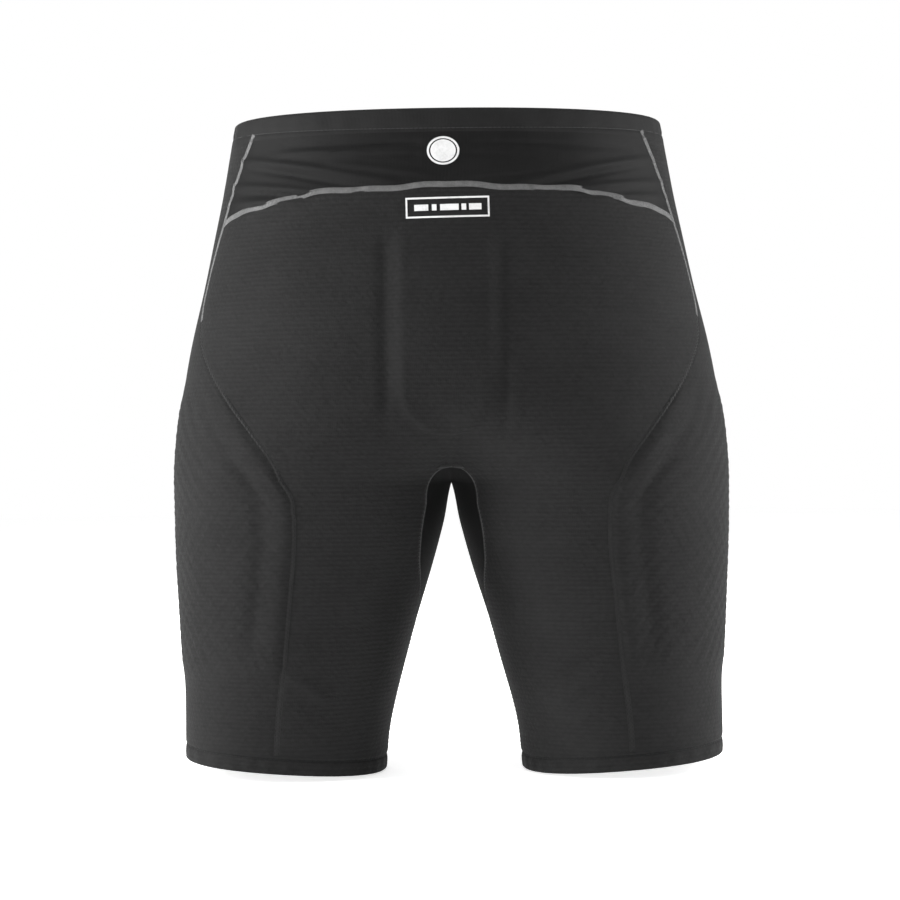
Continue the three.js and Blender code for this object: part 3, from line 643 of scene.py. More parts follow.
# %% Shader nodes as maths
class Wire:
    """The output of a shader node. Adding or multiplying wires makes Math nodes."""

    def __init__(self, dye, socket):
        self.dye, self.socket = dye, socket

    def __add__(self, other):
        return self.dye.maths("ADD", self, other)

    def __sub__(self, other):
        return self.dye.maths("SUBTRACT", self, other)

    def __rsub__(self, other):
        return self.dye.maths("SUBTRACT", other, self)

    def __mul__(self, other):
        return self.dye.maths("MULTIPLY", self, other)

    def __truediv__(self, other):
        return self.dye.maths("DIVIDE", self, other)

    __radd__, __rmul__ = __add__, __mul__


class Dye:
    """A new material and the nodes that colour it."""

    def __init__(self, name, roughness, sheen=0.0, sheen_roughness=0.5, specular=0.5):
        self.material = bpy.data.materials.new(name)
        self.material.use_nodes = True
        self.tree = self.material.node_tree
        self.shader = self.tree.nodes["Principled BSDF"]
        self.shader.inputs["Roughness"].default_value = roughness
        self.shader.inputs["Sheen Weight"].default_value = sheen
        self.shader.inputs["Sheen Roughness"].default_value = sheen_roughness
        self.shader.inputs["Specular IOR Level"].default_value = specular
        # UV is the cloth's own, in metres; place is the spot on the garment.
        coordinates = self.tree.nodes.new("ShaderNodeTexCoord")
        self.uv, self.place = (Wire(self, coordinates.outputs[key]) for key in ("UV", "Object"))

    def node(self, kind, settings=None, out=0, **sockets):
        """Adds one node. A socket's value is a wire, or a number or colour."""
        node = self.tree.nodes.new("ShaderNode" + kind)
        for key, value in (settings or {}).items():
            setattr(node, key, value)
        for key, value in sockets.items():
            socket = node.inputs[int(key[1:]) if key[0] == "_" else key.replace("_", " ")]
            if isinstance(value, Wire):
                self.tree.links.new(value.socket, socket)
            else:
                socket.default_value = value
        return Wire(self, node.outputs[out])

    def maths(self, operation, *values, clamp=False):
        values = {f"_{i}": value for i, value in enumerate(values)}
        return self.node("Math", {"operation": operation, "use_clamp": clamp}, **values)

    def parts(self, wire):
        return [self.node("SeparateXYZ", out=i, Vector=wire) for i in range(3)]

    def noise(self, scale, detail=2.0, stretch=(1, 1, 1), at=None, roughness=0.55):
        where = self.node("Mapping", {}, Vector=at or self.place, Scale=stretch)
        return self.node("TexNoise", {}, Vector=where, Scale=scale, Detail=detail, Roughness=roughness)

    def colour(self, amount, low, high):
        """A colour between two others."""
        return self.node("Mix", {"data_type": "RGBA"}, out=2, _0=amount, _6=(*low, 1), _7=(*high, 1))

    def wave(self, wire, pitch):
        """0 to 1 and back, once in each pitch."""
        return self.maths("PINGPONG", wire / (pitch / 2), 1.0)

    def smooth(self, wire, low=0.0, high=1.0):
        return self.node("MapRange", {"interpolation_type": "SMOOTHSTEP"}, _0=wire, _1=low, _2=high)

    def finish(self, colour, height=None, depth=0.5 * MM, strength=1.0, roughness=None):
        self.tree.links.new(colour.socket, self.shader.inputs["Base Color"])
        if roughness is not None:
            self.tree.links.new(roughness.socket, self.shader.inputs["Roughness"])
        if height is not None:
            bump = self.node("Bump", {}, Height=height, Distance=depth, Strength=strength)
            self.tree.links.new(bump.socket, self.shader.inputs["Normal"])
        return self.material


def grey(value, warm=0.0):
    return (value * (1 + warm), value, value * (1 - warm))


print("shader maths ready")

# %% [markdown]
# ## The cloths
# The shell is a thick double knit with rows of small raised dashes, like a flattened waffle, about five
# millimetres apart. The yoke, the pouch and the gusset are a thin smooth knit with only a fine rib. The pads
# sit in an open mesh. Sheen stands for the short fibres that catch light at the edge of a fold.

# %% Shell and smooth stretch
def shell_cloth():
    dye = Dye("textured_shell_knit", 0.82, sheen=0.02, sheen_roughness=0.4, specular=0.13)
    u, v, _ = dye.parts(dye.uv)
    drift = dye.noise(38, 2, at=dye.uv) - 0.5
    v = v + drift * (1.2 * MM)
    row = dye.maths("FLOOR", v / (3.0 * MM))
    stagger = dye.maths("MODULO", row, 2.0) * (2.4 * MM)
    u = u + stagger + (dye.noise(90, 1, at=dye.uv) - 0.5) * (2.6 * MM)
    rows, dashes = dye.wave(v, 3.0 * MM), dye.wave(u, 4.8 * MM)
    raised = dye.smooth(rows, 0.1, 0.9) * (0.45 + 0.55 * dye.smooth(dashes, 0.1, 0.8))
    stitches = dye.wave(u, 1.1 * MM) * dye.wave(v, 1.0 * MM)
    fuzz = dye.noise(1500, 2, at=dye.uv)
    clump = dye.noise(240, 3, stretch=(1, 1, 1.5))
    blotch = dye.noise(26, 3)
    height = raised * 0.32 + stitches * 0.2 + fuzz * 0.2 + clump * 1.1
    # The raised dashes are painted a little lighter than the hollows between them: a painted highlight on their tops.
    # Fuzz, blotches and clumps are random tone.
    shade = raised * 0.14 + fuzz * 0.26 + blotch * 0.32 + clump * 0.42
    colour = dye.colour(dye.smooth(shade, 0.22, 0.86), grey(0.0050), grey(0.0125))
    return dye.finish(colour, height, 0.45 * MM, 1.0)


def stretch_cloth(name, low, high, roughness=0.7, sheen=0.01):
    dye = Dye(name, roughness, sheen=sheen, sheen_roughness=0.4, specular=0.1)
    u, v, _ = dye.parts(dye.uv)
    ribs = dye.wave(u + (dye.noise(120, 1, at=dye.uv) - 0.5) * (0.5 * MM), 0.9 * MM)
    courses = dye.wave(v, 0.8 * MM)
    fuzz, blotch = dye.noise(1700, 2, at=dye.uv), dye.noise(30, 3)
    shade = ribs * 0.25 + courses * 0.15 + fuzz * 0.25 + blotch * 0.5
    colour = dye.colour(dye.smooth(shade, 0.25, 0.9), grey(low), grey(high))
    return dye.finish(colour, ribs * 0.5 + courses * 0.3 + fuzz * 0.2, 0.18 * MM, 0.9)


SHELL_CLOTH = shell_cloth()
STRETCH_CLOTH = stretch_cloth("smooth_stretch_knit", 0.0026, 0.0056, roughness=0.58)
GUSSET_CLOTH = stretch_cloth("gusset_stretch_knit", 0.0018, 0.004, roughness=0.8, sheen=0.01)
BAND_CLOTH = stretch_cloth("waistband_knit", 0.0065, 0.013)
print("cloths:", [m.name for m in (SHELL_CLOTH, STRETCH_CLOTH, GUSSET_CLOTH, BAND_CLOTH)])


# %% Thread, foam, mesh, prints, elastic and tape
def thread(name, low, high):
    dye = Dye(name, 0.65, sheen=0.03, specular=0.2)
    twist = dye.noise(2600, 2)
    blotch = dye.noise(160, 2)
    colour = dye.colour(dye.smooth(twist * 0.6 + blotch * 0.5, 0.3, 0.8), grey(low), grey(high))
    return dye.finish(colour, twist, 0.08 * MM, 0.8)


def foam_cloth():
    dye = Dye("pad_foam", 0.85, specular=0.3)
    cells = dye.node("TexVoronoi", {"feature": "DISTANCE_TO_EDGE"}, Vector=dye.place, Scale=620.0)
    blotch = dye.noise(60, 3)
    colour = dye.colour(dye.smooth(cells, 0.0, 0.25) * 0.6 + blotch * 0.4, grey(0.03), (0.075, 0.08, 0.09))
    return dye.finish(colour, dye.smooth(cells, 0.0, 0.3), 0.25 * MM, 0.8)


def mesh_cloth():
    dye = Dye("pocket_mesh", 0.7, sheen=0.2)
    u, v, _ = dye.parts(dye.uv)
    row = dye.maths("FLOOR", v / (1.5 * MM))
    u = u + dye.maths("MODULO", row, 2.0) * (0.9 * MM)
    across, along = dye.wave(u, 1.8 * MM), dye.wave(v, 1.5 * MM)
    hole = dye.smooth(across * along, 0.30, 0.46)
    colour = dye.colour(hole, grey(0.03), grey(0.004))
    return dye.finish(colour, 1.0 - hole, 0.4 * MM, 1.0)


def print_ink(name, low, high):
    dye = Dye(name, 0.42, specular=0.5)
    grain, worn = dye.noise(900, 2), dye.noise(90, 3)
    colour = dye.colour(dye.smooth(grain * 0.4 + worn * 0.7, 0.2, 0.62), grey(low), grey(high))
    return dye.finish(colour, grain, 0.05 * MM, 0.5)


def woven_tape(name, low, high, pitch):
    dye = Dye(name, 0.7, sheen=0.2)
    ribs = dye.wave(dye.parts(dye.place)[2], pitch)
    fuzz = dye.noise(1200, 2)
    colour = dye.colour(dye.smooth(ribs * 0.6 + fuzz * 0.5, 0.2, 0.9), grey(low), grey(high))
    return dye.finish(colour, ribs * 0.8 + fuzz * 0.2, 0.25 * MM, 0.9)


PALE_THREAD = thread("pale_seam_thread", 0.062, 0.125)
DARK_THREAD = thread("dark_seam_thread", 0.005, 0.010)
GUSSET_THREAD = thread("gusset_seam_thread", 0.022, 0.045)
FOAM = foam_cloth()
POCKET_MESH = mesh_cloth()
INK = print_ink("white_print", 0.42, 0.60)
ELASTIC = woven_tape("ribbed_elastic", 0.55, 0.75, 1.2 * MM)
TAPE = woven_tape("label_tape", 0.6, 0.78, 0.5 * MM)
print("trims:", [m.name for m in (PALE_THREAD, DARK_THREAD, FOAM, POCKET_MESH, INK, ELASTIC, TAPE)])


def wear(piece, material, slot, *nodes):
    """Gives a piece its material and hides the parts of the plan that it stands for."""
    piece.data.materials.clear()
    piece.data.materials.append(material)
    if nodes:
        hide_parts(*nodes)


# %% [markdown]
# ## The leg and hip panels
# Each side of the shorts has a rear, a side and a front panel that run from the hem to the hip without a
# join. A panel that spans the hip has to stretch when the leg lifts; here each is laid once, in its resting
# place. The two rear panels are cut as halves that meet on the centre line with no seam between them.

# %% Rear, side and front panels
for word, side in SIDES.items():
    rear = panel(f"{word}_rear_panel", rear_seam, gusset_seam, to_hem, under_yoke, side, "stop", (1, 0, 0, 1))
    wear(rear, SHELL_CLOTH, "textured_shell", "rear_panel_seat", f"{word}_rear_panel_fold", f"{word}_rear_panel_thigh")
    flank = panel(f"{word}_side_panel", front_seam, rear_seam, to_hem, at_height(PANEL_TOP), side, "stop", (1, 1, 0, 0))
    wear(flank, SHELL_CLOTH, "textured_shell",
         f"{word}_side_panel_hip", f"{word}_side_panel_fold", f"{word}_side_panel_thigh")
    fore = panel(f"{word}_front_panel", pouch_seam, front_seam, to_hem, at_height(PANEL_TOP), side, "start",
                 (1, 1, 0, 0))
    wear(fore, SHELL_CLOTH, "textured_shell",
         f"{word}_front_panel_hip", f"{word}_front_panel_fold", f"{word}_front_panel_thigh")
    for piece in (rear, flank, fore):
        bend_with(piece)


# %% Gusset
def gusset_foot(column):
    return np.full(column(0.0).shape, GUSSET_TIP + 0.5 * MM)


for word, side in SIDES.items():
    behind = panel(f"{word}_gusset_rear", gusset_seam, limit, gusset_foot, at_height(APEX - 0.3 * MM), side, "stop",
                   (1, 0, 0, 0), thick=KNIT, cell=1.6 * MM)
    before = panel(f"{word}_gusset_front", lambda z: -limit(z), lambda z: -gusset_seam(z), gusset_foot,
                   at_height(APEX - 0.3 * MM), side, "start", (0, 1, 0, 0), thick=KNIT, cell=1.6 * MM)
    for piece in (behind, before):
        wear(piece, GUSSET_CLOTH, "gusset_stretch", "crotch_gusset", f"{word}_gusset_fold")
        bend_with(piece)

# %% [markdown]
# ## Yoke and pouch
# Behind the waist the thick shell stops at a curved seam, and a thin yoke takes over, so that the waistband
# can gather there. In front, a tapering pouch panel of the same thin knit runs down to the gusset. Both are
# one piece across the middle of the body and stay with the pelvis.

# %% Rear yoke and front pouch
yoke = panel("rear_yoke_panel", rear_seam, limit, over_yoke, at_height(PANEL_TOP), 0, "stop", (1, 0, 1, 0), thick=KNIT)
wear(yoke, STRETCH_CLOTH, "smooth_stretch", "rear_yoke")
pouch = panel("front_pouch", lambda z: -limit(z), pouch_seam, at_height(APEX + 0.3 * MM), at_height(PANEL_TOP),
              0, "start", (0, 1, 0, 0), thick=KNIT)
wear(pouch, STRETCH_CLOTH, "smooth_stretch", "front_pouch_panel")
for piece in (yoke, pouch):
    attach(piece, "pelvis")

# %% [markdown]
# ## Waistband and hems
# A casing is a strip folded over the elastic and stitched down, so its section is a narrow upside-down U with
# a rounded top. A hem is the shell turned up inside and stitched. A torus is the right start for both: its
# rings go round the opening, and each ring is given the section of the folded cloth.

# %% Rings round an opening
def ring(name, count, section):
    """A closed ring whose section is a loop of points, from a torus laid later by set_points."""
    bpy.ops.object.select_all(action="DESELECT")
    bpy.ops.mesh.primitive_torus_add(
        major_segments=count, minor_segments=len(section), major_radius=0.12, minor_radius=0.01, generate_uvs=True
    )
    piece = bpy.context.object
    piece.name = piece.data.name = name
    return piece


def lay_ring(piece, points):
    """Moves a torus onto points[place round the opening, place in the section], with a UV map in metres."""
    count, section = points.shape[:2]
    set_points(piece, points.reshape(-1, 3))
    around = np.linalg.norm(np.roll(points, -1, 0) - points, axis=-1).mean(1)
    across = np.linalg.norm(np.roll(points, -1, 1) - points, axis=-1).mean(0)
    u, v = np.r_[0, np.cumsum(around)], np.r_[0, np.cumsum(across)]
    corners = np.empty(len(piece.data.loops), np.int32)
    piece.data.loops.foreach_get("vertex_index", corners)
    corners = corners.reshape(-1, 4)
    i, j = corners // section, corners % section
    i = np.where((i == 0) & (i.max(1, keepdims=True) == count - 1), count, i)
    j = np.where((j == 0) & (j.max(1, keepdims=True) == section - 1), section, j)
    uv = np.stack([u[i], v[j]], -1)
    piece.data.uv_layers.active.data.foreach_set("uv", uv.astype(np.float32).ravel())
    face_outward(piece, 55)
    print(f"{piece.name}: {u[-1] * 1000:.0f} mm round, {len(piece.data.polygons)} faces")


def round_opening(section, count):
    """For each point of a ring: its turn round the opening, and the section's two measures there."""
    turn = np.arange(count)[:, None] / count + 0 * section[None, :, 0]
    return turn, section[None, :, 0] + 0 * turn, section[None, :, 1] + 0 * turn


def arc_points(centre, radius, start, stop, count):
    turn = np.radians(np.linspace(start, stop, count))
    return [(centre[0] + radius * math.cos(t), centre[1] + radius * math.sin(t)) for t in turn]


# %% Waistband casing
BAND_THICK, BAND_ROLL = 4.6 * MM, 2.3 * MM
BAND_STITCH, BAND_STITCH_RISE = 13.6 * MM, 3.0 * MM  # below the top edge, and how much less at the sides


def waist_place(turn, down, out):
    """A place on the waistband: turn 0 is the wearer's left and a quarter is the back."""
    angle = np.radians(turn * 360)
    right = np.cos(angle) < 0
    mirrored = np.where(right, math.pi - angle, angle)
    mirrored = np.where(mirrored > math.pi, mirrored - 2 * math.pi, mirrored)
    side = np.where(right, -1, 1)
    z = HEIGHT - down
    p = surface(mirrored, z) + outward(mirrored, z) * np.asarray(out)[..., None]
    p[..., 0] *= side
    return p


def casing_section():
    """(out, down) round the fold, from the foot of the outer layer."""
    outside = [(0, d * MM) for d in (16, 15.2, 14.4, 13.6, 12.8, 12, 10, 8, 6, 4.2)]
    over = [(x, -y) for x, y in arc_points((-BAND_ROLL, -BAND_ROLL), BAND_ROLL, 0, 180, 11)]
    inside = [(-BAND_THICK, d * MM) for d in (4.2, 7, 10, 12.6, 14, 16)]
    back_up = [(-BAND_THICK + KNIT, d * MM) for d in (16, 12, 8, 4.2)]
    under = [(x, -y) for x, y in arc_points((-BAND_ROLL, -BAND_ROLL), BAND_ROLL - KNIT, 180, 0, 7)]
    down_again = [(-KNIT, d * MM) for d in (4.2, 8, 12, 16)]
    return outside + over + inside + back_up + under + down_again


def stitch_down(turn):
    return BAND_STITCH - BAND_STITCH_RISE * np.cos(turn * 2 * math.pi) ** 2


ROUND = 264
section = np.array(casing_section())
turn, out, down = round_opening(section, ROUND)
# The stitch line pulls the outer layer in, and the elastic gathers the band in small uneven ripples.
pull = 0.6 * MM * bell((down - stitch_down(turn)) / (1.1 * MM)) * (out > -KNIT / 2)
gathers = np.sin(turn * 2 * math.pi * 46 + 1.3 * np.sin(turn * 2 * math.pi * 7))
ripple = 0.22 * MM * gathers * bell((down - 9 * MM) / (6 * MM))
casing = ring("waistband_cloth", ROUND, section)
lay_ring(casing, waist_place(turn, down, out - pull + ripple))
wear(casing, BAND_CLOTH, "waistband", "waistband_casing")
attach(casing, "pelvis")

# %% Waist elastic
ELASTIC_ROUND = 176
outer_face = [(-1.55, down) for down in np.linspace(14.6, 2.6, 11)]
inner_face = [(-3.05, down) for down in np.linspace(2.6, 14.6, 5)]
section = np.array(outer_face + [(-2.3, 2.0)] + inner_face + [(-2.3, 15.1)]) * MM
turn, out, down = round_opening(section, ELASTIC_ROUND)
elastic = ring("ribbed_waist_elastic", ELASTIC_ROUND, section)
lay_ring(elastic, waist_place(turn, down, out))
wear(elastic, ELASTIC, "elastic", "waist_elastic")
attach(elastic, "pelvis")

# %% Hems
HEM_THICK = 3.4 * MM
HEM_STITCH = 10.2 * MM  # above the edge


def hem_section():
    """(out, above) round the turned edge, from the top of the outer layer down and round."""
    up = [(-HEM_THICK, a * MM) for a in (11.6, 9, 6, 3.4)]
    under = arc_points((-HEM_THICK / 2, HEM_THICK / 2), HEM_THICK / 2, 180, 360, 9)
    outside = [(0, a * MM) for a in (3.4, 5, 6.6, 8, 8.8, 9.5, 10.2, 10.9, 11.6, 12.3, 13)]
    over = [(-SHELL, 13 * MM), (-HEM_THICK, 12.6 * MM)]
    return up + under + outside + over


HEM_ROUND = 200
section = np.array(hem_section())
turn, out, above = round_opening(section, HEM_ROUND)
angle = (2 * turn - 1) * math.pi
z = hem_line(lambda at: angle + 0 * at, above)
pull = 1.0 * MM * bell((above - HEM_STITCH) / (1.2 * MM)) * (out > -SHELL / 2)
pucker = 0.3 * MM * np.sin(angle * 31 + 1.1 * np.sin(angle * 5)) * bell((above - 5.5 * MM) / (4 * MM))
for word, side in SIDES.items():
    hem = ring(f"{word}_hem_turn_up", HEM_ROUND, section)
    p = surface(angle, z) + outward(angle, z) * (out - pull + pucker)[..., None]
    p[..., 0] *= side
    lay_ring(hem, p)
    wear(hem, SHELL_CLOTH, "textured_shell", f"{word}_hem")
    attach(hem, leg_of(side))

# %% [markdown]
# ## Flatlock seams
# Sportswear is joined by flatlock seams: the edges butt together, two needles sew along both of them, and a
# cover thread crosses back and forth between. A texture could suggest this, but real loops of thread catch
# the light and show at the outline. One crossing is modelled, and its mesh is copied along every seam.

# %% One length of thread
THREAD = 0.42 * MM


def thread_piece(length, sag):
    """A short length of thread along X, bowed up by `sag`: its points and faces."""
    bpy.ops.object.select_all(action="DESELECT")
    bpy.ops.mesh.primitive_cylinder_add(vertices=5, radius=THREAD / 2, depth=length, end_fill_type="NGON")
    piece = bpy.context.object
    bpy.ops.object.mode_set(mode="EDIT")
    bpy.ops.mesh.select_all(action="DESELECT")
    bpy.ops.object.mode_set(mode="OBJECT")
    for edge in piece.data.edges:
        a, b = (piece.data.vertices[i].co for i in edge.vertices)
        edge.select = abs(a.z - b.z) > length / 2
    bpy.ops.object.mode_set(mode="EDIT")
    bpy.context.tool_settings.mesh_select_mode = (False, True, False)
    bpy.ops.mesh.subdivide(number_cuts=1)
    bpy.ops.object.mode_set(mode="OBJECT")
    bpy.context.tool_settings.mesh_select_mode = (True, False, False)
    points = np.array([v.co for v in piece.data.vertices])
    faces = [list(face.vertices) for face in piece.data.polygons]
    bpy.data.objects.remove(piece)
    bow = 1 - (2 * points[:, 2] / length) ** 2
    return np.stack([points[:, 2], points[:, 0], points[:, 1] + sag * bow], -1), faces


def turned(points, degrees_round, along=0.0, across=0.0):
    c, s = math.cos(math.radians(degrees_round)), math.sin(math.radians(degrees_round))
    x, y, z = points.T
    return np.stack([x * c - y * s + along, x * s + y * c + across, z], -1)


def joined(parts):
    points, faces, base = [], [], 0
    for p, f in parts:
        points.append(p)
        faces += [[i + base for i in face] for face in f]
        base += len(p)
    return np.concatenate(points), faces


def crossing(width, pitch):
    """One crossing of the cover thread with its two needle stitches."""
    slant = math.degrees(math.atan2(width, pitch))
    cover = thread_piece(math.hypot(width, pitch), 0.28 * MM)
    needle = thread_piece(pitch * 0.92, 0.12 * MM)
    return joined([
        (turned(cover[0], slant), cover[1]), (turned(cover[0], -slant), cover[1]),
        (turned(needle[0], 0, 0, width / 2), needle[1]), (turned(needle[0], 0, 0, -width / 2), needle[1]),
    ])


CROSSING = crossing(3.4 * MM, 3.0 * MM)
print("one crossing:", len(CROSSING[1]), "faces")


# %% Sewing along a line
class Line:
    """A line on the garment, at even steps: its places, and the along, across and out directions there."""

    def __init__(self, p, normal, pitch):
        length = np.r_[0, np.cumsum(np.linalg.norm(np.diff(p, axis=0), axis=-1))]
        self.length = float(length[-1])
        self.count = max(2, round(self.length / pitch))
        self.step = self.length / self.count
        at = (np.arange(self.count) + 0.5) * self.step
        pick = lambda values, where: np.stack([np.interp(where, length, values[:, k]) for k in range(3)], -1)
        self.out = unit(pick(normal, at))
        self.along = unit(pick(p, np.minimum(at + self.step, self.length)) - pick(p, np.maximum(at - self.step, 0)))
        self.across = np.cross(self.out, self.along)
        self.place = pick(p, at)
        ends = np.linspace(0, self.length, self.count + 1)
        self.nodes, self.node_out = pick(p, ends), unit(pick(normal, ends))
        along = unit(np.gradient(self.nodes, axis=0))
        self.node_across = np.cross(self.node_out, along)


def line_at(angle, z, side, out, pitch, inside=False):
    """The line through these places on the form, `out` metres off the cloth."""
    angle, z, side = np.broadcast_arrays(np.asarray(angle, float), np.asarray(z, float), np.asarray(side, float))
    normal = outward(angle, z) * (-1 if inside else 1)
    normal[..., 0] *= side
    return Line(lay(angle, z, out, side), normal, pitch)


def thread_bed(line, width, height):
    """A low five-sided strip of thread along a line, closed at its ends: its points and faces."""
    shape = np.array([(-1, -0.9), (-0.8, 0.5), (0, 1), (0.8, 0.5), (1, -0.9)]) * (width / 2, height)
    rows = line.nodes[:, None] + shape[None, :, :1] * line.node_across[:, None]
    rows = rows + shape[None, :, 1:] * line.node_out[:, None]
    faces = [[5 * k + j, 5 * k + 5 + j, 5 * k + 5 + (j + 1) % 5, 5 * k + (j + 1) % 5]
             for k in range(line.count) for j in range(5)]
    faces += [list(range(5)), [5 * line.count + j for j in range(4, -1, -1)]]
    return rows.reshape(-1, 3), faces


def sew(name, lines, unit_mesh, bed=0.0, bed_height=0.25 * MM):
    """Copies one stitch along each line into one mesh, over a narrow bed of thread where bed is its width."""
    base, faces = unit_mesh
    parts = []
    for line in lines:
        laid = (
            line.place[:, None] + base[None, :, :1] * line.along[:, None]
            + base[None, :, 1:2] * line.across[:, None] + base[None, :, 2:] * line.out[:, None]
        )
        parts += [(stitch, faces) for stitch in laid]
        if bed:
            parts.append(thread_bed(line, bed, bed_height))
    points, all_faces = joined(parts)
    mesh = bpy.data.meshes.new(name)
    mesh.from_pydata(points.tolist(), [], all_faces)
    piece = bpy.data.objects.new(name, mesh)
    bpy.context.collection.objects.link(piece)
    face_outward(piece, 60)
    print(f"{name}: {sum(line.length for line in lines) / MM:.0f} mm sewn, {len(mesh.polygons)} faces")
    return piece


ON_CLOTH = -0.25 * MM
PITCH = 3.0 * MM


def seam_lines(edge, low, high, side, thick=SHELL, sunk=0.0):
    """The outer and the inner face of a seam. Its heights crowd together at the top, where an arch is flat."""
    z = low + (high - low) * np.sin(np.linspace(0, math.pi / 2, 400))
    outside = line_at(edge(z), z, side, ON_CLOTH - sunk, PITCH)
    return [outside, line_at(edge(z), z, side, -thick - SEAM_DIP, PITCH, inside=True)]


# %% Yoke seam and the seams beside the yoke
def across_centre(half):
    """Angles that run in to the centre line on the wearer's left and out again on the right, and their sides."""
    return np.r_[half, half[-2::-1]], np.r_[np.ones(len(half)), -np.ones(len(half) - 1)]


def corner_height():
    z = np.linspace(rise(0.5), HEIGHT, 4000)
    return float(z[np.argmax(z >= yoke_seam(rear_seam(z)))])


CORNER = corner_height()
both_halves, sides = across_centre(np.linspace(float(rear_seam(CORNER)), math.pi / 2, 160))
# The hand-guided seam wavers by a millimetre or so.
share = np.linspace(0, math.pi, len(sides))
waver = (np.sin(9 * share) * 0.9 + np.sin(23 * share) * 0.35) * MM
yoke_lines = [
    line_at(both_halves, yoke_seam(both_halves) + waver, sides, out, PITCH, inside)
    for out, inside in ((ON_CLOTH, False), (-SHELL - SEAM_DIP, True))
]
yoke_flatlock = sew("yoke_flatlock", yoke_lines, CROSSING, bed=3.6 * MM)
wear(yoke_flatlock, PALE_THREAD, "seam_thread", "yoke_seam")
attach(yoke_flatlock, "pelvis")
for word, side in SIDES.items():
    lines = seam_lines(rear_seam, CORNER, HEIGHT - 11.5 * MM, side)
    beside = sew(f"{word}_yoke_side_flatlock", lines, CROSSING, bed=3.6 * MM)
    wear(beside, PALE_THREAD, "seam_thread", f"{word}_yoke_side_seam")
    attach(beside, "pelvis")

# %% Seams down the legs and round the gusset
def above_hem(edge):
    return float(hem_line(lambda z: np.atleast_1d(edge(np.asarray(z, float))), HEM_HEIGHT)[0])


PALE_FOOT = HEIGHT - 134 * MM  # the pale thread of the yoke runs on down to here
SUNK = 0.16 * MM
for word, side in SIDES.items():
    hip = sew(f"{word}_hip_flatlock", seam_lines(rear_seam, PALE_FOOT, CORNER, side), CROSSING, bed=3.4 * MM)
    wear(hip, PALE_THREAD, "seam_thread", f"{word}_hip_seam")
    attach(hip, "pelvis")
    lines = seam_lines(rear_seam, above_hem(rear_seam), PALE_FOOT, side, sunk=SUNK)
    rear = sew(f"{word}_rear_flatlock", lines, CROSSING, bed=2.6 * MM, bed_height=0.15 * MM)
    lines = seam_lines(front_seam, above_hem(front_seam), PANEL_TOP, side, sunk=SUNK)
    fore = sew(f"{word}_front_flatlock", lines, CROSSING, bed=2.6 * MM, bed_height=0.15 * MM)
    for dark in (rear, fore):
        wear(dark, DARK_THREAD, "seam_thread")
    inner_thigh = lambda z: 0 * z + math.pi
    around = seam_lines(gusset_seam, GUSSET_TIP, APEX - 0.5 * MM, side, KNIT)
    around += seam_lines(lambda z: -gusset_seam(z), GUSSET_TIP, APEX - 0.5 * MM, side, KNIT)
    around += seam_lines(inner_thigh, above_hem(inner_thigh), GUSSET_TIP, side)
    gusset = sew(f"{word}_gusset_flatlock", around, CROSSING, bed=3.2 * MM)
    wear(gusset, GUSSET_THREAD, "seam_thread")
    for piece in (rear, fore, gusset):
        bend_with(piece)
pouch_lines = [line for side in (1, -1) for line in seam_lines(pouch_seam, APEX + 1 * MM, PANEL_TOP, side)]
pouch_flatlock = sew("pouch_flatlock", pouch_lines, CROSSING, bed=3.0 * MM)
wear(pouch_flatlock, DARK_THREAD, "seam_thread")
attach(pouch_flatlock, "pelvis")


# %% [markdown]
# ## Bar tacks
# Four seams run into one point at each end of the gusset, where the knit would open first. On the machine a
# bar tack closes such a point: a short block of thread stitched to and fro across it. Each is laid on both
# faces of the cloth across the centre line, behind the crotch and in front of it.

# %% Bar tacks at the gusset's ends
BAR = crossing(4.6 * MM, 0.9 * MM)
BAR_REACH = 0.13  # half its length, as an angle
apex_angle = float(limit(APEX))
angles, sides = across_centre(apex_angle - np.linspace(BAR_REACH, 0, 12))
for place, facing in (("rear", 1), ("front", -1)):
    bars = [line_at(facing * angles, APEX, sides, out, 0.9 * MM, inside)
            for out, inside in ((ON_CLOTH + 0.1 * MM, False), (-SHELL - SEAM_DIP, True))]
    tack = sew(f"{place}_bar_tack", bars, BAR, bed=5.6 * MM, bed_height=0.45 * MM)
    wear(tack, DARK_THREAD, "seam_thread")
    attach(tack, "pelvis")

# %% Topstitching on the waistband and the hems
def running_stitch(length):
    return thread_piece(length, 0.16 * MM)


def ring_line(p, normal):
    """A line that closes on itself."""
    return Line(np.r_[p, p[:1]], np.r_[normal, normal[:1]], 3.0 * MM)


turn = np.arange(720) / 720
p, standing_off = (waist_place(turn, stitch_down(turn), 0 * turn + out) for out in (-0.46 * MM, 1 * MM))
waist_stitch = sew("waistband_topstitch", [ring_line(p, unit(standing_off - p))], running_stitch(2.3 * MM))
wear(waist_stitch, GUSSET_THREAD, "seam_thread")
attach(waist_stitch, "pelvis")
angle = np.linspace(-math.pi, math.pi, 480, endpoint=False)
z = hem_line(lambda at: angle + 0 * at, HEM_STITCH)
for word, side in SIDES.items():
    rows = []
    for out, inside in ((-0.85 * MM, 1), (-HEM_THICK, -1)):
        p, normal = surface(angle, z) + outward(angle, z) * out, outward(angle, z) * inside
        p[:, 0] *= side
        normal[:, 0] *= side
        rows.append(ring_line(p, normal))
    hem_stitch = sew(f"{word}_hem_topstitch", rows, running_stitch(2.4 * MM))
    wear(hem_stitch, DARK_THREAD, "seam_thread")
    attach(hem_stitch, leg_of(side))

# %% [markdown]
# ## Impact pads
# Each pad is a slab of soft foam, thinner at its rim, with moulded channels so that it can bend with the
# body. It is cut from a grid, given its thickness, remeshed into one closed skin, and then blown up a little
# by a cloth simulation while the channels are pinned, which leaves plump cells between them.

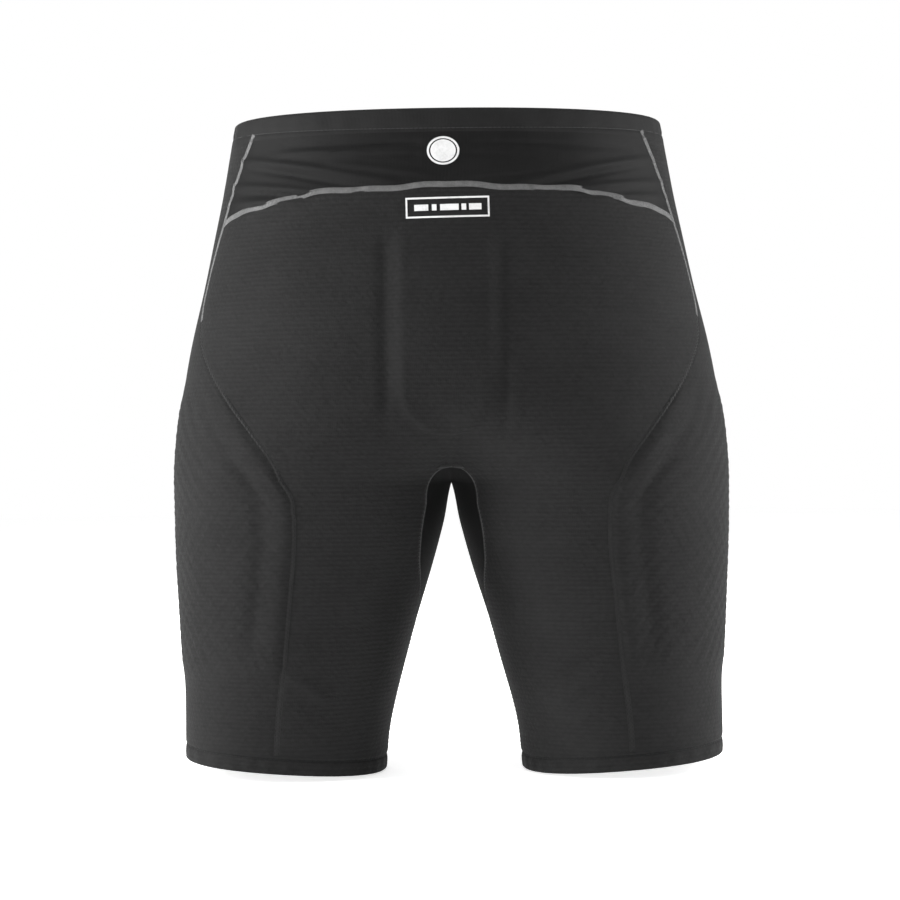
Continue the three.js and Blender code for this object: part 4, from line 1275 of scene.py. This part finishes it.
# %% Pad outlines
PAD_GAP, PAD_FOAM, PAD_EDGE, PAD_TAPER = 1.3 * MM, 8 * MM, 2.5 * MM, 14 * MM
POCKET_MARGIN, LINING_TAPER = 10 * MM, 6 * MM
PAD_DEPTH = SHELL + PAD_GAP
TAIL_WIDTH, TAIL_HEIGHT, TAIL_TOP = 66 * MM, 124 * MM, HEIGHT - 94 * MM
THIGH_TOP, THIGH_FOOT, THIGH_WIDTH = HEIGHT - 182 * MM, 62 * MM, 190 * MM


def tail_place(across, along, margin):
    """A place on the tongue-shaped tailbone pad, for -1 to 1 across and along: (angle, height, side)."""
    rounding = np.where(along < 0, 0.3, 0.09) * across * across * np.abs(along)
    z = TAIL_TOP - TAIL_HEIGHT / 2 + along * (TAIL_HEIGHT / 2 + margin) * (1 - rounding)
    half_width = (TAIL_WIDTH / 2 + margin) * (1 - np.where(along < 0, 0.28, 0.08) * np.abs(along) ** 3)
    return limit(z) - np.abs(across) * half_width / Section(z).a, z, np.where(across < 0, 1, -1)


def thigh_place(across, along, margin):
    """A place on a thigh pad, which wraps the outer thigh between the front and rear seams."""
    top, foot = THIGH_TOP + margin, THIGH_FOOT - margin
    bow = np.where(along > 0, 0.3, 0.16)
    z = (top + foot) / 2 + along * ((top - foot) / 2) * (1 - bow * across * across * np.abs(along))
    inset = math.radians(7) - margin / Section(z).a
    return mix(front_seam(z) + inset, rear_seam(z) - inset, (across + 1) / 2), z, np.ones_like(z)


def fullness(u, v, size, taper):
    """1 in the middle of a pad, falling to 0 at its rim."""
    return ease((1 - np.abs(u)) * size[0] / 2 / taper) * ease((1 - np.abs(v)) * size[1] / 2 / taper)


def pad_grid(columns, rows):
    u, v = np.meshgrid(np.linspace(-1, 1, columns + 1), np.linspace(-1, 1, rows + 1))
    return u, v


# %% Foam pads
PRESSURE, SWELL_CAP, VOXEL, CHANNEL_WIDTH = 4.0, 1.0 * MM, 3.0 * MM, 2.6 * MM


def slab(name, place, size, channels, side):
    """A pad with its channels pressed in. Each runs one way, at a share of the way out to the pad's rim."""
    columns, rows = round(size[0] / (2.2 * MM)), round(size[1] / (2.2 * MM))
    u, v = pad_grid(columns, rows)
    angle, z, sides = place(u, v, 0)
    sides = sides * side
    from_channel = [
        (np.abs(u) - at) * size[0] / 2 if way == "along" else (np.abs(v) - at) * size[1] / 2 for way, at in channels
    ]
    pressed = np.minimum(sum(bell(away / CHANNEL_WIDTH) for away in from_channel), 1)
    full = fullness(u, v, size, PAD_TAPER)
    outer_points = lay(angle, z, -PAD_DEPTH - 0.4 * MM, sides)
    thick = PAD_EDGE + (PAD_FOAM - PAD_EDGE - 1.2 * MM) * full * (1 - 0.45 * pressed)
    piece = grid(name, columns, rows)
    order = slice(None) if side > 0 else slice(None, None, -1)
    set_points(piece, outer_points[:, order].reshape(-1, 3))
    thickness = piece.vertex_groups.new(name="thickness")
    for index, share in enumerate((thick / PAD_FOAM)[:, order].ravel()):
        thickness.add([index], float(share), "REPLACE")
    apply_modifier(
        piece, "SOLIDIFY", thickness=PAD_FOAM, offset=-1, vertex_group="thickness", thickness_vertex_group=0.0
    )
    piece.vertex_groups.clear()
    apply_modifier(piece, "REMESH", mode="VOXEL", voxel_size=VOXEL, use_smooth_shade=True)
    return piece, angle, z, sides, pressed


def pin_weights(piece, angle, z, sides, pressed):
    """How firmly each point of the skin is held: fully in a channel, and not at all between channels."""
    laid = lay(angle, z, -PAD_DEPTH - PAD_FOAM / 2, sides).reshape(-1, 3)
    tree = mathutils.kdtree.KDTree(len(laid))
    for index, place in enumerate(laid):
        tree.insert(place, index)
    tree.balance()
    held = pressed.ravel()
    return [float(held[tree.find(v.co)[1]]) for v in piece.data.vertices]


def swell(piece, held):
    """Lets the foam's skin swell under pressure, by at most SWELL_CAP, with the channels pinned."""
    before = np.array([v.co for v in piece.data.vertices])
    pins = piece.vertex_groups.new(name="pins")
    for index, weight in enumerate(held):
        if weight > 0.5:
            pins.add([index], 1.0, "REPLACE")
    select_only(piece)
    modifier = piece.modifiers.new("Cloth", "CLOTH")
    modifier.settings.use_pressure = True
    modifier.settings.uniform_pressure_force = PRESSURE
    modifier.settings.vertex_group_mass = "pins"
    modifier.settings.effector_weights.gravity = 0
    modifier.point_cache.frame_start, modifier.point_cache.frame_end = 1, 20
    for frame_number in range(1, 21):
        bpy.context.scene.frame_set(frame_number)
    shaped = piece.evaluated_get(bpy.context.evaluated_depsgraph_get())
    after = np.array([v.co for v in shaped.data.vertices])
    bpy.context.scene.frame_set(1)
    piece.modifiers.remove(modifier)
    piece.vertex_groups.clear()
    move = after - before
    far = np.linalg.norm(move, axis=-1, keepdims=True)
    set_points(piece, before + move * np.minimum(1, SWELL_CAP / np.maximum(far, 1e-9)))
    print(f"{piece.name}: swelled by {far.mean() * 1000:.2f} mm on average, capped at {SWELL_CAP * 1000:.1f} mm")


def foam_pad(name, place, size, channels, side=1):
    piece, angle, z, sides, pressed = slab(name, place, size, channels, side)
    swell(piece, pin_weights(piece, angle, z, sides, pressed))
    apply_modifier(piece, "SUBSURF", levels=1, render_levels=1)
    select_only(piece)
    bpy.ops.object.shade_smooth()
    print(f"{name}: {len(piece.data.polygons)} faces")
    return piece


TAIL_CHANNELS = [("along", 0.36), ("across", 0.0), ("across", 0.5)]
tail_pad = foam_pad("tailbone_foam_pad", tail_place, (TAIL_WIDTH, TAIL_HEIGHT), TAIL_CHANNELS)
wear(tail_pad, FOAM, "foam_pad", "tailbone_pad")
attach(tail_pad, "pelvis")
THIGH_CHANNELS = [("along", 0.34), ("across", 0.0), ("across", 0.52)]
THIGH_SIZE = (THIGH_WIDTH, THIGH_TOP - THIGH_FOOT)
for word, side in SIDES.items():
    thigh_pad = foam_pad(f"{word}_thigh_foam_pad", thigh_place, THIGH_SIZE, THIGH_CHANNELS, side)
    wear(thigh_pad, FOAM, "foam_pad", f"{word}_thigh_pad")
    bend_with(thigh_pad)

# %% [markdown]
# ## Pad pockets
# A pocket is an open mesh lining sewn to the shell all round its pad. It drapes from the pad's face down to
# the shell in a narrow slope, and its rim is stitched down with a line of thread.

# %% Pockets
def pocket(name, place, size, side=1):
    columns, rows = (round((measure + 2 * POCKET_MARGIN) / (2.4 * MM)) for measure in size)
    u, v = pad_grid(columns, rows)
    angle, z, sides = place(u, v, POCKET_MARGIN)
    sides = sides * side
    at_u = u * (size[0] / 2 + POCKET_MARGIN) / (size[0] / 2)
    at_v = v * (size[1] / 2 + POCKET_MARGIN) / (size[1] / 2)
    past = np.maximum((np.abs(at_u) - 1) * size[0] / 2, (np.abs(at_v) - 1) * size[1] / 2)
    past = np.maximum(past, 0) / POCKET_MARGIN
    full = fullness(np.clip(at_u, -1, 1), np.clip(at_v, -1, 1), size, LINING_TAPER)
    under = PAD_EDGE + (PAD_FOAM - PAD_EDGE) * full
    falls = ease((past - 0.35) / 0.65)
    depth = PAD_DEPTH + (under + PAD_GAP) * (1 - falls) - 0.7 * MM * falls
    ripple = 0.35 * MM * np.sin(u * 21 + v * 4) * np.sin(v * 17) * (1 - falls)
    order = slice(None) if side > 0 else slice(None, None, -1)
    points = lay(angle, z, -(depth + ripple), sides)[:, order]
    piece = grid(name, columns, rows)
    across, along = arc(points, 1), arc(points, 0)
    make_cloth(piece, points, np.stack([across, along], -1), MESH_CLOTH)
    wear(piece, POCKET_MESH, "lining_mesh")
    rim = np.r_[[(angle[r, c], z[r, c], sides[r, c]) for r, c in pocket_rim(rows, columns)]]
    stitch = line_at(*rim.T, -PAD_DEPTH - 0.3 * MM, 2.8 * MM, inside=True)
    edge = sew(f"{name}_stitching", [stitch], CROSSING, bed=3.0 * MM)
    wear(edge, DARK_THREAD, "seam_thread")
    return piece, edge


def pocket_rim(rows, columns):
    """The grid places round a pocket, one step inside its rim."""
    top, foot, near, far = rows - 1, 1, 1, columns - 1
    around = [(foot, c) for c in range(near, far)] + [(r, far) for r in range(foot, top)]
    around += [(top, c) for c in range(far, near, -1)] + [(r, near) for r in range(top, foot, -1)]
    return around + around[:1]


tail_pocket, tail_edge = pocket("tailbone_mesh_pocket", tail_place, (TAIL_WIDTH, TAIL_HEIGHT))
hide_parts("tailbone_pad_pocket")
for piece in (tail_pocket, tail_edge):
    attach(piece, "pelvis")
for word, side in SIDES.items():
    pair = pocket(f"{word}_thigh_mesh_pocket", thigh_place, THIGH_SIZE, side)
    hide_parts(f"{word}_thigh_pad_pocket")
    for piece in pair:
        bend_with(piece)

# %% [markdown]
# ## Prints and labels
# The round mark and the box below the yoke seam are heat transfers: a film of white ink less than half a
# millimetre thick. They are drawn here as a plain ringed disc and a frame of plain bars. Inside the waist
# hangs a blank care label, a folded strip of satin tape.

# %% Laying a flat print on the back
def on_back(x, height, out):
    """The place on the cloth straight behind (x, height), `out` metres off it."""
    z = np.asarray(height, float) + HEIGHT
    outer_side, back = np.full(np.shape(x), 0.2), np.full(np.shape(x), math.pi / 2)
    angle = bisect(outer_side, back, lambda angle: surface(angle, z)[..., 0] > np.abs(x))
    side = np.where(np.asarray(x) < 0, -1, 1)
    return lay(angle, z, out, side)


PRINT_THICK = 0.35 * MM


def print_on_back(piece, centre, tilt=0.0):
    """Presses a flat print, modelled in X and Y, onto the cloth and gives it the ink's thickness."""
    points = np.array([v.co for v in piece.data.vertices])
    c, s = math.cos(math.radians(tilt)), math.sin(math.radians(tilt))
    x, y = points[:, 0] * c - points[:, 1] * s, points[:, 0] * s + points[:, 1] * c
    # The cloth is looked at from behind, so the print's right is the wearer's right.
    set_points(piece, on_back(centre[0] - x, centre[1] + y, PRINT_THICK))
    apply_modifier(piece, "SOLIDIFY", thickness=PRINT_THICK * 1.6, offset=-1)
    face_outward(piece, 40)
    wear(piece, INK, "transfer_print")
    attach(piece, "pelvis")
    print(f"{piece.name}: {len(piece.data.polygons)} faces")


def delete_faces(piece, unwanted):
    select_only(piece)
    bpy.ops.object.mode_set(mode="EDIT")
    bpy.ops.mesh.select_all(action="DESELECT")
    bpy.ops.object.mode_set(mode="OBJECT")
    for face in piece.data.polygons:
        face.select = unwanted(face)
    bpy.ops.object.mode_set(mode="EDIT")
    bpy.context.tool_settings.mesh_select_mode = (False, False, True)
    bpy.ops.mesh.delete(type="FACE")
    bpy.context.tool_settings.mesh_select_mode = (True, False, False)
    bpy.ops.object.mode_set(mode="OBJECT")


# %% Round mark
MARK_WIDTH, MARK_HEIGHT = 21 * MM, 18.5 * MM
bpy.ops.object.select_all(action="DESELECT")
bpy.ops.mesh.primitive_circle_add(vertices=72, radius=1, fill_type="TRIFAN")
mark = bpy.context.object
mark.name = mark.data.name = "round_print"
bpy.ops.object.mode_set(mode="EDIT")
bpy.ops.mesh.select_all(action="SELECT")
for width in (0.13, 0.09, 0.13, 0.16, 0.16, 0.16):
    bpy.ops.mesh.inset(thickness=width)
bpy.ops.object.mode_set(mode="OBJECT")
delete_faces(mark, lambda face: 0.78 < face.center.to_2d().length < 0.87 and len(face.vertices) == 4)
for vertex in mark.data.vertices:
    vertex.co.x *= MARK_WIDTH / 2
    vertex.co.y *= MARK_HEIGHT / 2
print_on_back(mark, (0.003, waist_high.z - 0.0285))
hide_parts("round_badge")

# %% Framed bars
LABEL_WIDTH, LABEL_HEIGHT, FRAME_LINE = 54 * MM, 13.5 * MM, 1.1 * MM


def plain_bar(x, y, width, height):
    bpy.ops.object.select_all(action="DESELECT")
    columns, rows = max(2, round(width / (1.1 * MM))), max(2, round(height / (1.1 * MM)))
    bpy.ops.mesh.primitive_grid_add(x_subdivisions=columns, y_subdivisions=rows, size=1)
    bar = bpy.context.object
    for vertex in bar.data.vertices:
        vertex.co.x, vertex.co.y = x + vertex.co.x * width, y + vertex.co.y * height
    return bar


bars = [plain_bar(0, way * (LABEL_HEIGHT - FRAME_LINE) / 2, LABEL_WIDTH, FRAME_LINE) for way in (-1, 1)]
within = LABEL_HEIGHT - 2 * FRAME_LINE
bars += [plain_bar(way * (LABEL_WIDTH - FRAME_LINE) / 2, 0, FRAME_LINE, within) for way in (-1, 1)]
# Plain strokes of different lengths stand where a maker would print. Each has a start and a length.
for start, length in ((-21.454, 9), (-10.124, 3), (-4.824, 12), (8.986, 3), (13.836, 8)):
    bars.append(plain_bar((start + length / 2) * MM, 0, length * MM, 4 * MM))
bpy.ops.object.select_all(action="DESELECT")
for bar in bars:
    bar.select_set(True)
bpy.context.view_layer.objects.active = bars[0]
bpy.ops.object.join()
box_print = bpy.context.object
box_print.name = box_print.data.name = "framed_print"
print_on_back(box_print, (0.0005, waist_high.z - 0.0655), tilt=1.0)
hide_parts("back_label")

# %% Care label
label_low, label_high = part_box("care_label")
columns, rows = 20, 30
care = grid("care_tag", columns, rows)
u, v = np.meshgrid(np.linspace(-1, 1, columns + 1), np.linspace(0, 1, rows + 1))
width, height = label_high.x - label_low.x, label_high.z - label_low.z
hang = np.stack([
    -u * width / 2 * (1 - 0.02 * v),
    label_low.y - 0.2 * MM - 1.3 * MM * np.sin((1 - v) * 2.6) * (1 - v) - 0.9 * MM * u * u * (1 - v) - 0.3 * MM,
    label_low.z + v * height,
], -1)
set_points(care, hang.reshape(-1, 3))
set_uv(care, np.stack([u * width / 2, v * height], -1).reshape(-1, 2))
apply_modifier(care, "SOLIDIFY", thickness=0.5 * MM, offset=0)
apply_modifier(care, "BEVEL", width=0.12 * MM, segments=2, limit_method="ANGLE")
smooth(care, 40)
wear(care, TAPE, "label_tape", "care_label")
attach(care, "pelvis")
